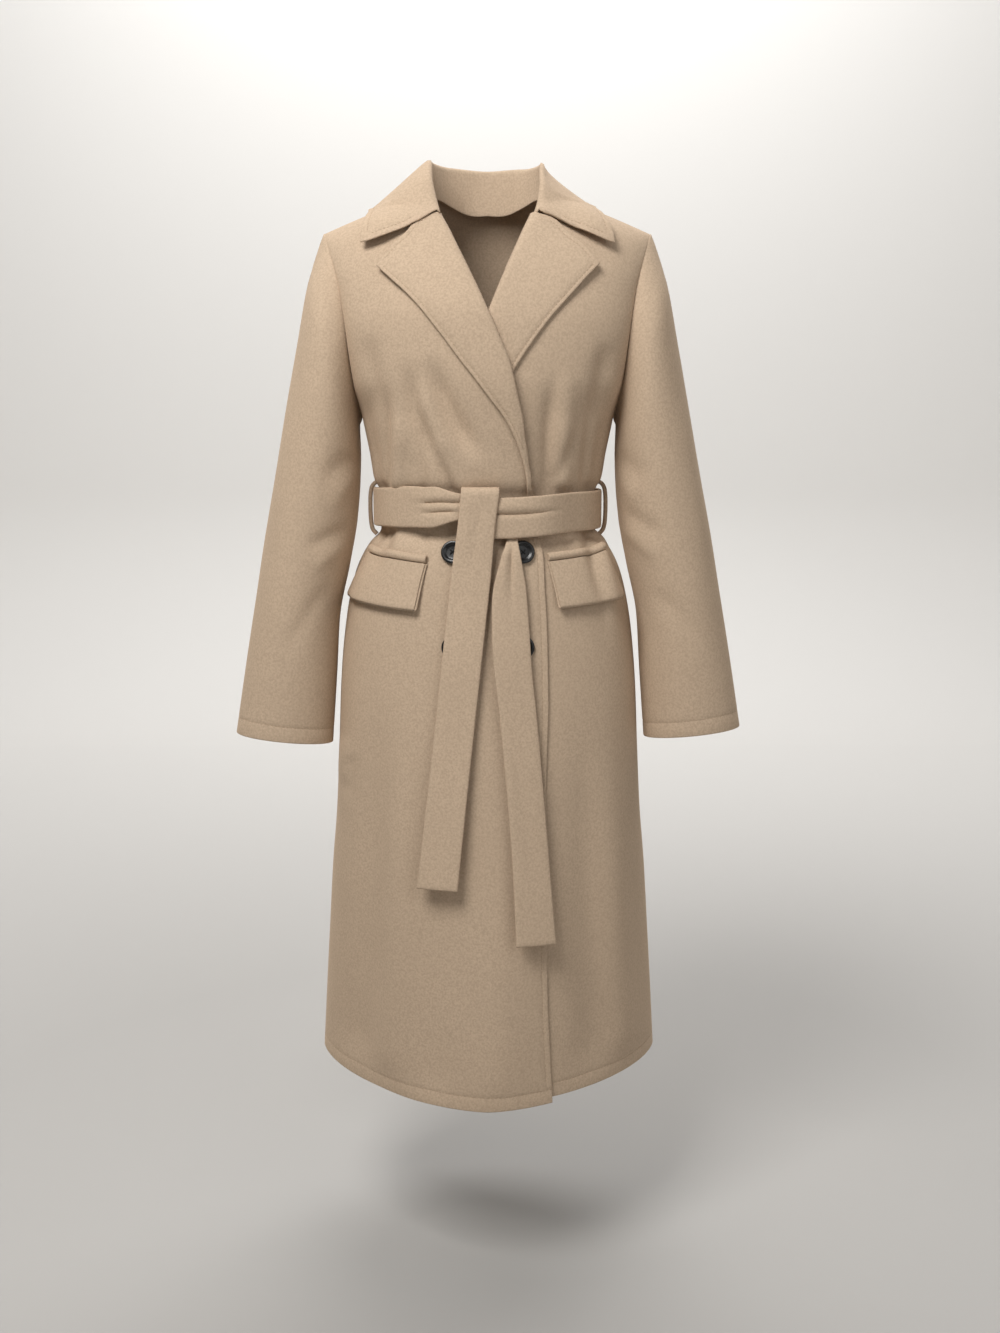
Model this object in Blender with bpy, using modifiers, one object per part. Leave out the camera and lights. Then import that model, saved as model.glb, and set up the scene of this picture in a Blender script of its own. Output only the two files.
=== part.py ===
"""Double-breasted coat with a tie belt, worn form, hollow.

Metres, +Z up, front towards -Y, origin between the two points where the shoulder seams meet the neck.
Right and left are the wearer's: the right side is at -X.
"""
import math
from collections import namedtuple

import bmesh
import bpy
import numpy as np
from mathutils import Matrix
from mathutils import Vector

# Cloth
WALL = 0.0022
SEAM = 0.0003
SHOULDER_BOW = 1.25

# Body sections from hem to shoulder seam. The middle of a section is at x = 0, its side lies on the
# side seam or, from the underarm up, on the armhole. turn is how far round the section's arc goes,
# square is below 1 for a boxy arc and above 1 for one that is drawn out at the side.
Section = namedtuple("Section", "z_mid z_side x_side front_side back_side front back turn square")
SECTIONS = (
    Section(-1.081, -1.072, 0.2175, 0.0, 0.0, -0.1780, 0.1780, 90, 1.22),
    Section(-0.980, -0.980, 0.2115, 0.0, 0.0, -0.1700, 0.1710, 90, 1.16),
    Section(-0.900, -0.900, 0.2060, 0.0, 0.0, -0.1620, 0.1650, 90, 1.10),
    Section(-0.820, -0.820, 0.2005, 0.0, 0.0, -0.1540, 0.1580, 90, 1.04),
    Section(-0.740, -0.740, 0.1930, 0.0, 0.0, -0.1460, 0.1520, 90, 0.98),
    Section(-0.660, -0.660, 0.1885, 0.0, 0.0, -0.1380, 0.1460, 90, 0.94),
    Section(-0.580, -0.580, 0.1845, 0.0, 0.0, -0.1300, 0.1390, 90, 0.90),
    Section(-0.500, -0.500, 0.1770, 0.0, 0.0, -0.1215, 0.1310, 90, 0.90),
    Section(-0.440, -0.440, 0.1635, 0.0, 0.0, -0.1140, 0.1200, 90, 0.90),
    Section(-0.408, -0.408, 0.1470, 0.0, 0.0, -0.1070, 0.1070, 90, 0.90),
    Section(-0.389, -0.389, 0.1315, 0.0, 0.0, -0.0980, 0.0905, 90, 0.90),
    Section(-0.363, -0.363, 0.1295, 0.0, 0.0, -0.0960, 0.0880, 90, 0.90),
    Section(-0.340, -0.340, 0.1310, 0.0, 0.0, -0.0975, 0.0880, 90, 0.90),
    Section(-0.325, -0.325, 0.1385, 0.0, 0.0, -0.1015, 0.0885, 90, 0.90),
    Section(-0.295, -0.295, 0.1435, 0.0, 0.0, -0.1060, 0.0905, 90, 0.90),
    Section(-0.255, -0.255, 0.1515, 0.0, 0.0, -0.1120, 0.0935, 90, 0.90),
    Section(-0.205, -0.210, 0.1595, -0.0450, 0.0480, -0.1165, 0.0960, 80, 0.90),
    Section(-0.150, -0.150, 0.1665, -0.0615, 0.0640, -0.1145, 0.0970, 70, 0.90),
    Section(-0.100, -0.100, 0.1745, -0.0520, 0.0550, -0.1030, 0.0940, 66, 0.90),
    Section(-0.055, -0.066, 0.1845, -0.0340, 0.0360, -0.0850, 0.0865, 64, 0.90),
    Section(-0.015, -0.0465, 0.1915, -0.0175, 0.0190, -0.0615, 0.0705, 62, 0.90),
    Section(0.0140, -0.0385, 0.1950, -0.0075, 0.0080, -0.0340, 0.0400, 60, 0.90),
    Section(0.0285, -0.0363, 0.1960, -0.0025, 0.0030, -0.0130, 0.0150, 60, 0.90),
    Section(0.0322, -0.0360, 0.1960, 0.0, 0.0, 0.0, 0.0, 60, 0.90),
)
TOP = len(SECTIONS) - 1
UNDERARM = 15
NECK_POINT_X = 0.074
BACK_NECK = 20.45
NECK_ROUND = 2.5

# Largest folds: where one runs (share of the way from middle to side, + is the left side), the heights
# between which it fades in and out, how far it stands out (- is a trough) and its half width.
Fold = namedtuple("Fold", "side s_low s_high z_low z_high depth width")
FOLDS = (
    Fold("front", 0.84, 0.80, -0.580, -0.392, -0.0070, 0.080),
    Fold("front", -0.86, -0.82, -0.560, -0.392, -0.0060, 0.080),
    Fold("front", 0.76, 0.68, -0.338, -0.220, -0.0050, 0.080),
    Fold("front", -0.78, -0.68, -0.338, -0.210, -0.0050, 0.080),
    Fold("front", -0.46, -0.38, -0.338, -0.260, -0.0035, 0.080),
    Fold("front", 0.48, 0.42, -0.338, -0.265, -0.0030, 0.080),
    Fold("back", 0.46, 0.36, -0.640, -0.392, -0.0060, 0.060),
    Fold("back", -0.40, -0.32, -0.600, -0.392, -0.0060, 0.060),
    Fold("back", 0.52, 0.40, -0.338, -0.210, -0.0045, 0.055),
    Fold("back", -0.58, -0.42, -0.338, -0.220, -0.0045, 0.055),
)
FOLD_END = 0.018
FOLD_FADE = 0.75

# Front openings, seen from the front. Each lapel row goes from the roll line over a middle point to
# the outer edge; the edge below the lapel follows in its own table. x is towards the wearer's left.
LapelRow = namedtuple("LapelRow", "roll_x roll_z mid_x mid_z edge_x edge_z")
LAPEL_OVER = (
    LapelRow(-0.0540, -0.0200, -0.0835, -0.0285, -0.1280, -0.0800),
    LapelRow(-0.0415, -0.0450, -0.0660, -0.0560, -0.1080, -0.0990),
    LapelRow(-0.0285, -0.0720, -0.0500, -0.0830, -0.0850, -0.1210),
    LapelRow(-0.0030, -0.1280, -0.0240, -0.1340, -0.0570, -0.1530),
    LapelRow(0.0120, -0.1610, -0.0070, -0.1680, -0.0300, -0.1890),
    LapelRow(0.0260, -0.1960, 0.0110, -0.2060, -0.0060, -0.2230),
    LapelRow(0.0350, -0.2360, 0.0265, -0.2420, 0.0185, -0.2520),
    LapelRow(0.0415, -0.2770, 0.0340, -0.2795, 0.0300, -0.2825),
    LapelRow(0.0470, -0.3190, 0.0405, -0.3192, 0.0375, -0.3195),
)
LAPEL_UNDER = (
    LapelRow(0.0500, -0.0200, 0.0810, -0.0285, 0.1290, -0.0780),
    LapelRow(0.0385, -0.0450, 0.0650, -0.0540, 0.1120, -0.0950),
    LapelRow(0.0265, -0.0720, 0.0500, -0.0810, 0.0950, -0.1140),
    LapelRow(0.0030, -0.1280, 0.0260, -0.1320, 0.0680, -0.1440),
    LapelRow(-0.0120, -0.1610, 0.0100, -0.1670, 0.0430, -0.1780),
    LapelRow(-0.0260, -0.1960, -0.0080, -0.2040, 0.0180, -0.2160),
    LapelRow(-0.0350, -0.2360, -0.0250, -0.2410, -0.0100, -0.2490),
    LapelRow(-0.0415, -0.2770, -0.0335, -0.2795, -0.0280, -0.2820),
    LapelRow(-0.0470, -0.3190, -0.0405, -0.3192, -0.0375, -0.3195),
)
EdgePoint = namedtuple("EdgePoint", "x z")
FRONT_EDGE = (
    EdgePoint(0.0530, -0.3630),
    EdgePoint(0.0620, -0.4050),
    EdgePoint(0.0665, -0.4600),
    EdgePoint(0.0675, -0.7000),
    EdgePoint(0.0700, -0.9500),
    EdgePoint(0.0760, -1.0720),
)
UNDER_HEM_RISE = 0.010
HEM_RISE_SHARE = 0.1
OVER_LIFT_CHEST = 0.0085
OVER_LIFT_SKIRT = 0.0040
LIFT_X = (-0.150, -0.080)
LIFT_Z_TOP = (-0.140, -0.060)
LIFT_Z_WAIST = (-0.350, -0.322)

# Sleeve rings below the armhole: outer and inner point seen from the front, then the half depth.
SleeveRing = namedtuple("SleeveRing", "x_out z_out x_in z_in y_mid depth")
SLEEVE_RINGS = (
    SleeveRing(0.2130, -0.085, 0.1610, -0.264, 0.000, 0.0730),
    SleeveRing(0.2300, -0.165, 0.1600, -0.296, -0.001, 0.0740),
    SleeveRing(0.2450, -0.243, 0.1610, -0.330, -0.003, 0.0710),
    SleeveRing(0.2610, -0.329, 0.1650, -0.378, -0.006, 0.0670),
    SleeveRing(0.2750, -0.403, 0.1750, -0.436, -0.009, 0.0630),
    SleeveRing(0.2875, -0.479, 0.1885, -0.505, -0.013, 0.0585),
    SleeveRing(0.3005, -0.556, 0.1930, -0.577, -0.017, 0.0540),
    SleeveRing(0.3165, -0.654, 0.1995, -0.667, -0.022, 0.0490),
)
ARMHOLE_GAP_TOP = 0.0014
ARMHOLE_GAP_UNDER = 0.0050
ARMHOLE_POINTS = 200

# Collar and lapels: hairpins of cloth, so their tables and offsets are for the middle of the wall.
# MID_SHARE is how far across its leaf a lapel's middle point lies.
MID_SHARE = 0.4
LAPEL_AHEAD = 0.05
ROLL = 0.0021
ROLL_SET = 0.0033
COLLAR_ROLL = 0.0026
SEAM_RISE = 0.0026
LAPEL_GAP = 0.0015
NECK_SEAM_POINTS = 60
COLLAR_REACH = 0.945
REST = 0.0043
REST_REACH = 0.006
CollarRow = namedtuple("CollarRow", "t fold_x fold_y fold_z edge_x edge_y edge_z out_x out_y out_z bulge")
COLLAR = (
    CollarRow(0.00, 0.0000, 0.0640, 0.0465, 0.0000, 0.0980, -0.0300, 0.00, 1.00, 0.00, 0.0030),
    CollarRow(0.30, 0.0450, 0.0500, 0.0485, 0.0760, 0.0850, -0.0210, 0.60, 0.80, 0.00, 0.0030),
    CollarRow(0.58, 0.0670, 0.0040, 0.0485, 0.1310, 0.0160, -0.0010, 1.00, 0.00, 0.00, 0.0010),
    CollarRow(0.80, 0.0660, -0.0300, 0.0270, 0.1400, -0.0220, -0.0120, 0.85, -0.35, 0.35, 0.0030),
    CollarRow(1.00, 0.0555, -0.0615, -0.0130, 0.1430, -0.0600, -0.0485, 0.25, -0.70, 0.67, 0.0050),
)

# The left half of the collar lies closer to the shoulder: how far in and down its fold and edge sit,
# how far its leaf is hollowed, and the places t between which that comes and goes.
LEFT_SITS_IN = {"fold": (0.004, 0.0, 0.003), "edge": (0.012, 0.0, -0.002)}
LEFT_HOLLOW = 0.0055
SITS_IN_COMES = (0.1, 0.5)
SITS_IN_GOES = (0.75, 1.0)

# Pockets
FLAP_TOP, FLAP_BOTTOM = -0.4222, -0.4770
FLAP_IN_TOP, FLAP_IN_BOTTOM = 0.0710, 0.0830
FLAP_WALL = 0.0028
FLAP_LIFT = 0.0070
FLAP_CURL = 1.5
FLAP_GAP = 0.0013
WELT_TOP, WELT_BOTTOM = -0.4130, -0.4215
FLAP_OUT = {"right": -0.85, "left": 0.78}
FlapTilt = namedtuple("FlapTilt", "inner rise")
FLAP_TILT = {"right": FlapTilt(-0.002, 0.009), "left": FlapTilt(0.001, 0.0075)}
FLAP_SPREAD = 0.03

# Belt: offset from the body at its waist row, height, and the hanging ends. The pairs are places x
# between which the offset rises or falls. Towards the knot each side changes its height and its middle.
WAIST = 11
BELT_WALL = 0.0036
BELT_HEIGHT = 0.047
BELT_Z = -0.363
BELT_OFF = 0.0084
BELT_OFF_FRONT = 0.0052
BELT_OFF_KNOT = 0.0090
BELT_FRONT_RISE = (-0.150, -0.080)
BELT_FRONT_FALL = (0.060, 0.130)
KNOT_RISE = (-0.095, -0.040)
KNOT_FALL = (0.050, 0.100)
KNOT_REACH = (0.015, 0.100)
KnotSide = namedtuple("KnotSide", "height middle")
KNOT_LEFT = KnotSide(0.001, -0.005)
KNOT_RIGHT = KnotSide(-0.007, 0.003)
END_WRAP = 2.1
BELT_GAP_X = -0.0100
BELT_GAP = 0.0010
EndRow = namedtuple("EndRow", "x y z half")
END_OVER = (
    EndRow(-0.0090, -0.1133, -0.3720, 0.0225),
    EndRow(-0.0090, -0.1133, -0.3560, 0.0225),
    EndRow(-0.0090, -0.1133, -0.3395, 0.0225),
    EndRow(-0.0090, -0.1150, -0.3353, 0.0225),
    EndRow(-0.0090, -0.1190, -0.3336, 0.0225),
    EndRow(-0.0090, -0.1231, -0.3353, 0.0225),
    EndRow(-0.0092, -0.1248, -0.3395, 0.0225),
    EndRow(-0.0122, -0.1250, -0.3650, 0.0220),
    EndRow(-0.0150, -0.1254, -0.3900, 0.0222),
    EndRow(-0.0178, -0.1262, -0.4150, 0.0230),
    EndRow(-0.0222, -0.1295, -0.4550, 0.0235),
    EndRow(-0.0300, -0.1385, -0.5250, 0.0235),
    EndRow(-0.0383, -0.1455, -0.6000, 0.0235),
    EndRow(-0.0472, -0.1545, -0.6800, 0.0237),
    EndRow(-0.0550, -0.1635, -0.7500, 0.0240),
    EndRow(-0.0612, -0.1705, -0.8040, 0.0245),
)
END_UNDER = (
    EndRow(0.0285, -0.1128, -0.3700, 0.0075),
    EndRow(0.0284, -0.1130, -0.3830, 0.0068),
    EndRow(0.0283, -0.1134, -0.3925, 0.0066),
    EndRow(0.0279, -0.1194, -0.4000, 0.0080),
    EndRow(0.0270, -0.1244, -0.4100, 0.0108),
    EndRow(0.0260, -0.1268, -0.4300, 0.0155),
    EndRow(0.0252, -0.1302, -0.4600, 0.0205),
    EndRow(0.0276, -0.1390, -0.5250, 0.0225),
    EndRow(0.0352, -0.1455, -0.6000, 0.0220),
    EndRow(0.0426, -0.1540, -0.6800, 0.0218),
    EndRow(0.0492, -0.1630, -0.7600, 0.0220),
    EndRow(0.0540, -0.1720, -0.8300, 0.0230),
    EndRow(0.0566, -0.1775, -0.8710, 0.0240),
)
LoopPoint = namedtuple("LoopPoint", "x z")
LOOP = (
    LoopPoint(0.1410, -0.3270),
    LoopPoint(0.1442, -0.3420),
    LoopPoint(0.1455, -0.3630),
    LoopPoint(0.1450, -0.3840),
    LoopPoint(0.1440, -0.3980),
)
LOOP_WIDTH = 0.0070
LOOP_WALL = 0.0016

# Buttons: two columns and two rows, all on the right front
BUTTON_X = (-0.0405, 0.0400)
BUTTON_Z = (-0.4105, -0.5200)
BUTTON_SEAT = 0.0002
ButtonPoint = namedtuple("ButtonPoint", "r h")
BUTTON_PROFILE = (
    ButtonPoint(0.0, 0.0024),
    ButtonPoint(0.0080, 0.0024),
    ButtonPoint(0.0098, 0.0036),
    ButtonPoint(0.0122, 0.0040),
    ButtonPoint(0.0138, 0.0030),
    ButtonPoint(0.0136, 0.0014),
    ButtonPoint(0.0100, 0.0),
    ButtonPoint(0.0, 0.0),
)
BUTTON_STEPS = 16

# Grid of each cloth piece: faces across, faces along
FRONT_GRID = (14, 38)
SIDE_DENSER = 0.35
BACK_GRID = (20, 34)
SLEEVE_GRID = (18, 16)
ROLL_FACES = 4
LAPEL_GRID = (9, 18)
STAND_FACES = 2
FOLD_FACES = 4
COLLAR_GRID = (26, 10)
FLAP_GRID = (9, 3)
WELT_GRID = (9, 1)
BELT_GRID = (44, 2)
END_GRID = (3, 24)
LOOP_GRID = (1, 8)
JOIN = 0.00005

# Surfaces
WOOL = (0.49, 0.37, 0.26)
WOOL_ROUGHNESS = 0.9
BLACK = (0.012, 0.012, 0.013)
BLACK_ROUGHNESS = 0.35

# Search for a place on the front: steps, differences, and limits that keep it off the seams
SLOPE_S, SLOPE_W = 0.004, 0.02
FIND_STEPS = 25
FIND_S, FIND_W = 0.0001, 0.001
FIRST_S = 0.9
LAST_S = 0.98
EDGE_W = 0.01


def smooth(x, low, high):
    """Soft step from 0 at low to 1 at high."""
    t = np.clip((np.asarray(x, float) - low) / (high - low), 0.0, 1.0)
    return t * t * (3.0 - 2.0 * t)


def curve(knots, values, x):
    """Monotone cubic through values at knots."""
    knots = np.asarray(knots, float)
    values = np.asarray(values, float)
    x = np.clip(np.asarray(x, float), knots[0], knots[-1])
    step = np.diff(knots)
    slope = np.diff(values) / step
    tangent = np.zeros_like(values)
    same = slope[:-1] * slope[1:] > 0.0
    safe = np.where(same, slope[:-1] + slope[1:], 1.0)
    tangent[1:-1] = np.where(same, 2.0 * slope[:-1] * slope[1:] / safe, 0.0)
    tangent[0] = slope[0]
    tangent[-1] = slope[-1]
    k = np.clip(np.searchsorted(knots, x, side="right") - 1, 0, len(step) - 1)
    t = (x - knots[k]) / step[k]
    a = (1.0 + 2.0 * t) * (1.0 - t) ** 2 * values[k] + t * (1.0 - t) ** 2 * step[k] * tangent[k]
    b = t * t * (3.0 - 2.0 * t) * values[k + 1] + t * t * (t - 1.0) * step[k] * tangent[k + 1]
    return a + b


def column(name, w):
    """One size of the body at row w of the section table."""
    return curve(range(len(SECTIONS)), [getattr(row, name) for row in SECTIONS], w)


def shell(side, s, w):
    """Inner face of the body without folds: s from -1 to 1 across, w from hem to shoulder."""
    s, w = np.broadcast_arrays(np.asarray(s, float), np.asarray(w, float))
    turn = np.radians(column("turn", w))
    angle = np.abs(s) * turn
    square = column("square", w)
    across = (np.sin(angle) / np.sin(turn)) ** square
    round_it = np.clip((np.cos(angle) - np.cos(turn)) / (1.0 - np.cos(turn)), 0.0, 1.0) ** square
    edge = column(side + "_side", w)
    x = np.sign(s) * column("x_side", w) * across
    y = edge + (column(side, w) - edge) * round_it
    z_mid = column("z_mid", w)
    z = z_mid + (column("z_side", w) - z_mid) * across ** SHOULDER_BOW
    return np.stack([x, y, z], axis=-1)


def outward(side, s, w):
    """Unit normal of the body, pointing away from the wearer."""
    s, w = np.broadcast_arrays(np.asarray(s, float), np.asarray(w, float))
    across = shell(side, np.minimum(s + SLOPE_S, 1.0), w) - shell(side, np.maximum(s - SLOPE_S, -1.0), w)
    up = shell(side, s, np.minimum(w + SLOPE_W, TOP)) - shell(side, s, np.maximum(w - SLOPE_W, 0.0))
    normal = np.cross(across, up)
    if side == "back":
        normal = -normal
    return normal / np.linalg.norm(normal, axis=-1, keepdims=True)


def fold_height(side, s, z):
    """How far the folds stand out at a place on the body."""
    total = np.zeros(np.broadcast(s, z).shape)
    for fold in FOLDS:
        if fold.side != side:
            continue
        share = np.clip((z - fold.z_low) / (fold.z_high - fold.z_low), 0.0, 1.0)
        middle = fold.s_low + (fold.s_high - fold.s_low) * share
        below = fold.z_high < BELT_Z
        fade = smooth(share if below else 1.0 - share, 0.0, FOLD_FADE)
        past_belt = z - fold.z_high if below else fold.z_low - z
        fade = fade * (1.0 - smooth(past_belt, 0.0, FOLD_END))
        total = total + fold.depth * fade * np.exp(-(((s - middle) / fold.width) ** 2))
    return total


def body(side, s, w, out=0.0):
    """Point on the body, folds included, moved outward."""
    point = shell(side, s, w)
    lift = fold_height(side, np.asarray(s, float), point[..., 2]) + out
    point[..., 1] += 0.5 * SEAM if side == "back" else -0.5 * SEAM
    return point + outward(side, s, w) * np.asarray(lift)[..., None]


def on_front(x, z):
    """Place (s, w) on the front whose point is seen at x, z from the front."""
    x, z = np.broadcast_arrays(np.asarray(x, float), np.asarray(z, float))
    levels = [row.z_mid for row in SECTIONS]
    w = np.clip(curve(levels, range(len(SECTIONS)), z), EDGE_W, TOP - EDGE_W)
    s = np.clip(x / SECTIONS[0].x_side, -FIRST_S, FIRST_S)
    for _ in range(FIND_STEPS):
        here = shell("front", s, w)
        ds = (shell("front", s + FIND_S, w) - here) / FIND_S
        dw = (here - shell("front", s, w - FIND_W)) / FIND_W
        det = ds[..., 0] * dw[..., 2] - ds[..., 2] * dw[..., 0]
        miss_x, miss_z = x - here[..., 0], z - here[..., 2]
        s = np.clip(s + (miss_x * dw[..., 2] - miss_z * dw[..., 0]) / det, -LAST_S, LAST_S)
        w = np.clip(w + (miss_z * ds[..., 0] - miss_x * ds[..., 2]) / det, EDGE_W, TOP - EDGE_W)
    return s, w


def over_lift(point):
    """How far the right front stands over the left one and its lapel."""
    x, z = point[..., 0], point[..., 2]
    chest = OVER_LIFT_CHEST * smooth(z, *LIFT_Z_WAIST) * (1.0 - smooth(z, *LIFT_Z_TOP))
    skirt = OVER_LIFT_SKIRT * (1.0 - smooth(z, *LIFT_Z_WAIST))
    return (chest + skirt) * smooth(x, *LIFT_X)


def over_front(s, w, out=0.0):
    """Point on the right front, which lies over the left one."""
    return body("front", s, w, over_lift(shell("front", s, w)) + out)


def under_front(s, w, out=0.0):
    """Point on the left front."""
    return body("front", s, w, out)


def neck_share():
    """Place s on the shoulder seam where the neck begins."""
    turn = math.radians(SECTIONS[TOP].turn)
    across = (NECK_POINT_X / SECTIONS[TOP].x_side) ** (1.0 / SECTIONS[TOP].square)
    return math.asin(across * math.sin(turn)) / turn


def back_top(s):
    """Row w of the back's upper edge: shoulder seam, and the neckline dipping between them."""
    return TOP - (TOP - BACK_NECK) * (1.0 - np.minimum(np.abs(s) / neck_share(), 1.0) ** NECK_ROUND)


def inner_edge(lapel, sign):
    """Knots of a front's inner edge from hem to neck point, as rows w and places s."""
    points = [(sign * p.x, p.z) for p in reversed(FRONT_EDGE)]
    points += [(row.roll_x - sign * ROLL_SET, row.roll_z) for row in reversed(lapel)]
    s, w = on_front([p[0] for p in points], [p[1] for p in points])
    w[0] = 0.0
    return np.append(w, TOP), np.append(s, math.copysign(neck_share(), lapel[0].roll_x))


def material(name, colour, roughness):
    """Plain surface of one sub-part."""
    made = bpy.data.materials.new(name)
    made.use_nodes = True
    shader = made.node_tree.nodes["Principled BSDF"]
    shader.inputs["Base Color"].default_value = (*colour, 1.0)
    shader.inputs["Roughness"].default_value = roughness
    shader.inputs["Metallic"].default_value = 0.0
    return made


def cloth(name, grid, place, wall=WALL, offset=1.0, ring=False, flip=False):
    """Cloth piece: a grid carried to its place by place(u, v), then thickened."""
    across, along = grid
    mesh = bpy.data.meshes.new(name)
    bm = bmesh.new()
    bmesh.ops.create_grid(bm, x_segments=across, y_segments=along, size=0.5)
    at = np.array([vert.co[:] for vert in bm.verts]) + 0.5
    for vert, point in zip(bm.verts, place(at[:, 0], at[:, 1])):
        vert.co = Vector(point)
    if ring:
        bmesh.ops.remove_doubles(bm, verts=bm.verts, dist=JOIN)
    if flip:
        bmesh.ops.reverse_faces(bm, faces=bm.faces)
    bm.to_mesh(mesh)
    bm.free()
    mesh.shade_smooth()
    piece = bpy.data.objects.new(name, mesh)
    coat.objects.link(piece)
    mesh.materials.append(material(name, WOOL, WOOL_ROUGHNESS))
    thick = piece.modifiers.new("wall", "SOLIDIFY")
    thick.thickness = wall
    thick.offset = offset
    return piece


def front(name, surface, lapel, sign):
    """One front, from its edge and roll line to side seam and armhole, from hem to shoulder seam."""
    knots, edge = inner_edge(lapel, sign)

    def place(u, v):
        w = v * TOP
        inner = curve(knots, edge, w)
        outer = math.copysign(1.0, edge[-1])
        point = surface(inner + (outer - inner) * u * (1.0 + SIDE_DENSER * (1.0 - u)), w)
        if surface is under_front:
            point[:, 2] += UNDER_HEM_RISE * (1.0 - u) * (1.0 - smooth(v, 0.0, HEM_RISE_SHARE))
        return point

    return cloth(name, FRONT_GRID, place, flip=sign > 0)


def back(name):
    """Back panel, with its neckline cut out at the top."""

    def place(u, v):
        s = 2.0 * u - 1.0
        return body("back", s, v * back_top(s))

    return cloth(name, BACK_GRID, place, flip=True)


def armhole(t):
    """Armhole loop of the left side: t runs 0 to 1 from shoulder down the front and up the back."""
    fine = np.linspace(TOP, UNDERARM, ARMHOLE_POINTS)
    loop = np.concatenate([body("front", 1.0, fine), body("back", 1.0, fine[::-1])[1:]])
    run = np.append(0.0, np.cumsum(np.linalg.norm(np.diff(loop, axis=0), axis=1)))
    half = run[len(fine) - 1]
    length = np.where(t < 0.5, 2.0 * t * half, half + (2.0 * t - 1.0) * (run[-1] - half))
    return np.stack([np.interp(length, run, loop[:, k]) for k in range(3)], axis=-1)


def sleeve(name, sign):
    """Set-in sleeve, a tube from the armhole to an open cuff."""

    def place(u, v):
        turn = 2.0 * math.pi * u
        start = armhole(u % 1.0)
        start[:, 0] += ARMHOLE_GAP_TOP + (ARMHOLE_GAP_UNDER - ARMHOLE_GAP_TOP) * np.sin(0.5 * turn)
        rings = [start]
        for ring in SLEEVE_RINGS:
            x = 0.5 * (ring.x_out + ring.x_in) + 0.5 * (ring.x_out - ring.x_in) * np.cos(turn)
            y = ring.y_mid - ring.depth * np.sin(turn)
            z = 0.5 * (ring.z_out + ring.z_in) + 0.5 * (ring.z_out - ring.z_in) * np.cos(turn)
            rings.append(np.stack([x, y, z], axis=-1))
        rings = np.stack(rings)
        knots = np.arange(len(rings))
        point = np.empty((len(u), 3))
        for i in range(len(u)):
            for k in range(3):
                point[i, k] = curve(knots, rings[:, i, k], v[i] * knots[-1])
        point[:, 0] *= sign
        return point

    return cloth(name, SLEEVE_GRID, place, ring=True, flip=sign < 0)


def unit(v):
    """Vectors of length one."""
    return v / np.linalg.norm(v, axis=-1, keepdims=True)


def table(rows, name, v):
    """One column of an evenly spread table at v from 0 to 1."""
    return curve(np.linspace(0.0, 1.0, len(rows)), [getattr(row, name) for row in rows], v)


def lapel(name, surface, rows, sign):
    """Turned-back lapel: rolls over at the front's edge and lies on the front."""
    knots, edge_s = inner_edge(rows, sign)

    def place(u, v):
        step = np.rint(u * LAPEL_GRID[0])
        phi = math.pi * np.minimum(step / ROLL_FACES, 1.0)
        q = np.maximum(step - ROLL_FACES, 0.0) / (LAPEL_GRID[0] - ROLL_FACES)
        roll_w = np.interp(v, np.linspace(0.0, 1.0, len(rows)), knots[-2 : -2 - len(rows) : -1])
        roll = shell("front", curve(knots, edge_s, roll_w), roll_w)[:, [0, 2]]
        mid = np.stack([table(rows, "mid_x", v), table(rows, "mid_z", v)], -1)
        edge = np.stack([table(rows, "edge_x", v), table(rows, "edge_z", v)], -1)

        def across(q):
            first = np.clip(q / MID_SHARE, 0.0, 1.0)[:, None]
            second = np.clip((q - MID_SHARE) / (1.0 - MID_SHARE), 0.0, 1.0)[:, None]
            return roll + (mid - roll) * first + (edge - mid) * second

        here = across(q)
        s, w = on_front(here[:, 0], here[:, 1])
        ahead = across(np.full(len(u), LAPEL_AHEAD))
        s_ahead, w_ahead = on_front(ahead[:, 0], ahead[:, 1])
        s_roll, w_roll = on_front(roll[:, 0], roll[:, 1])
        inward = unit(surface(s_roll, w_roll) - surface(s_ahead, w_ahead))
        normal = outward("front", s, w)
        point = surface(s, w, 0.5 * WALL) + normal * (ROLL * (1.0 - np.cos(phi)))[:, None]
        return point + inward * np.where(q > 0.0, 0.0, LAPEL_GAP + ROLL * np.sin(phi))[:, None]

    return cloth(name, LAPEL_GRID, place, offset=0.0, flip=sign < 0)


def neck_seam(surface, rows, sign):
    """Half of the neck seam, from middle of the back round to the top of the roll line."""
    s = np.linspace(0.0, neck_share(), NECK_SEAM_POINTS)
    behind = body("back", -sign * s, back_top(s), 0.5 * WALL)
    knots, edge = inner_edge(rows, sign)
    w = np.linspace(TOP, knots[-2], NECK_SEAM_POINTS)
    before = surface(curve(knots, edge, w), w, 0.5 * WALL)
    return np.concatenate([behind, before[1:]])


def rest_on_front(point, surface, clear):
    """Points moved out where they would lie closer to the front than clear."""
    s, w = on_front(point[:, 0], point[:, 2])
    under = surface(s, w)
    normal = outward("front", s, w)
    found = np.hypot(under[:, 0] - point[:, 0], under[:, 2] - point[:, 2]) < REST_REACH
    height = np.einsum("ij,ij->i", point - under, normal)
    short = np.where(found & (point[:, 1] < 0.0), np.maximum(clear - height, 0.0), 0.0)
    return point + normal * short[:, None]


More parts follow.
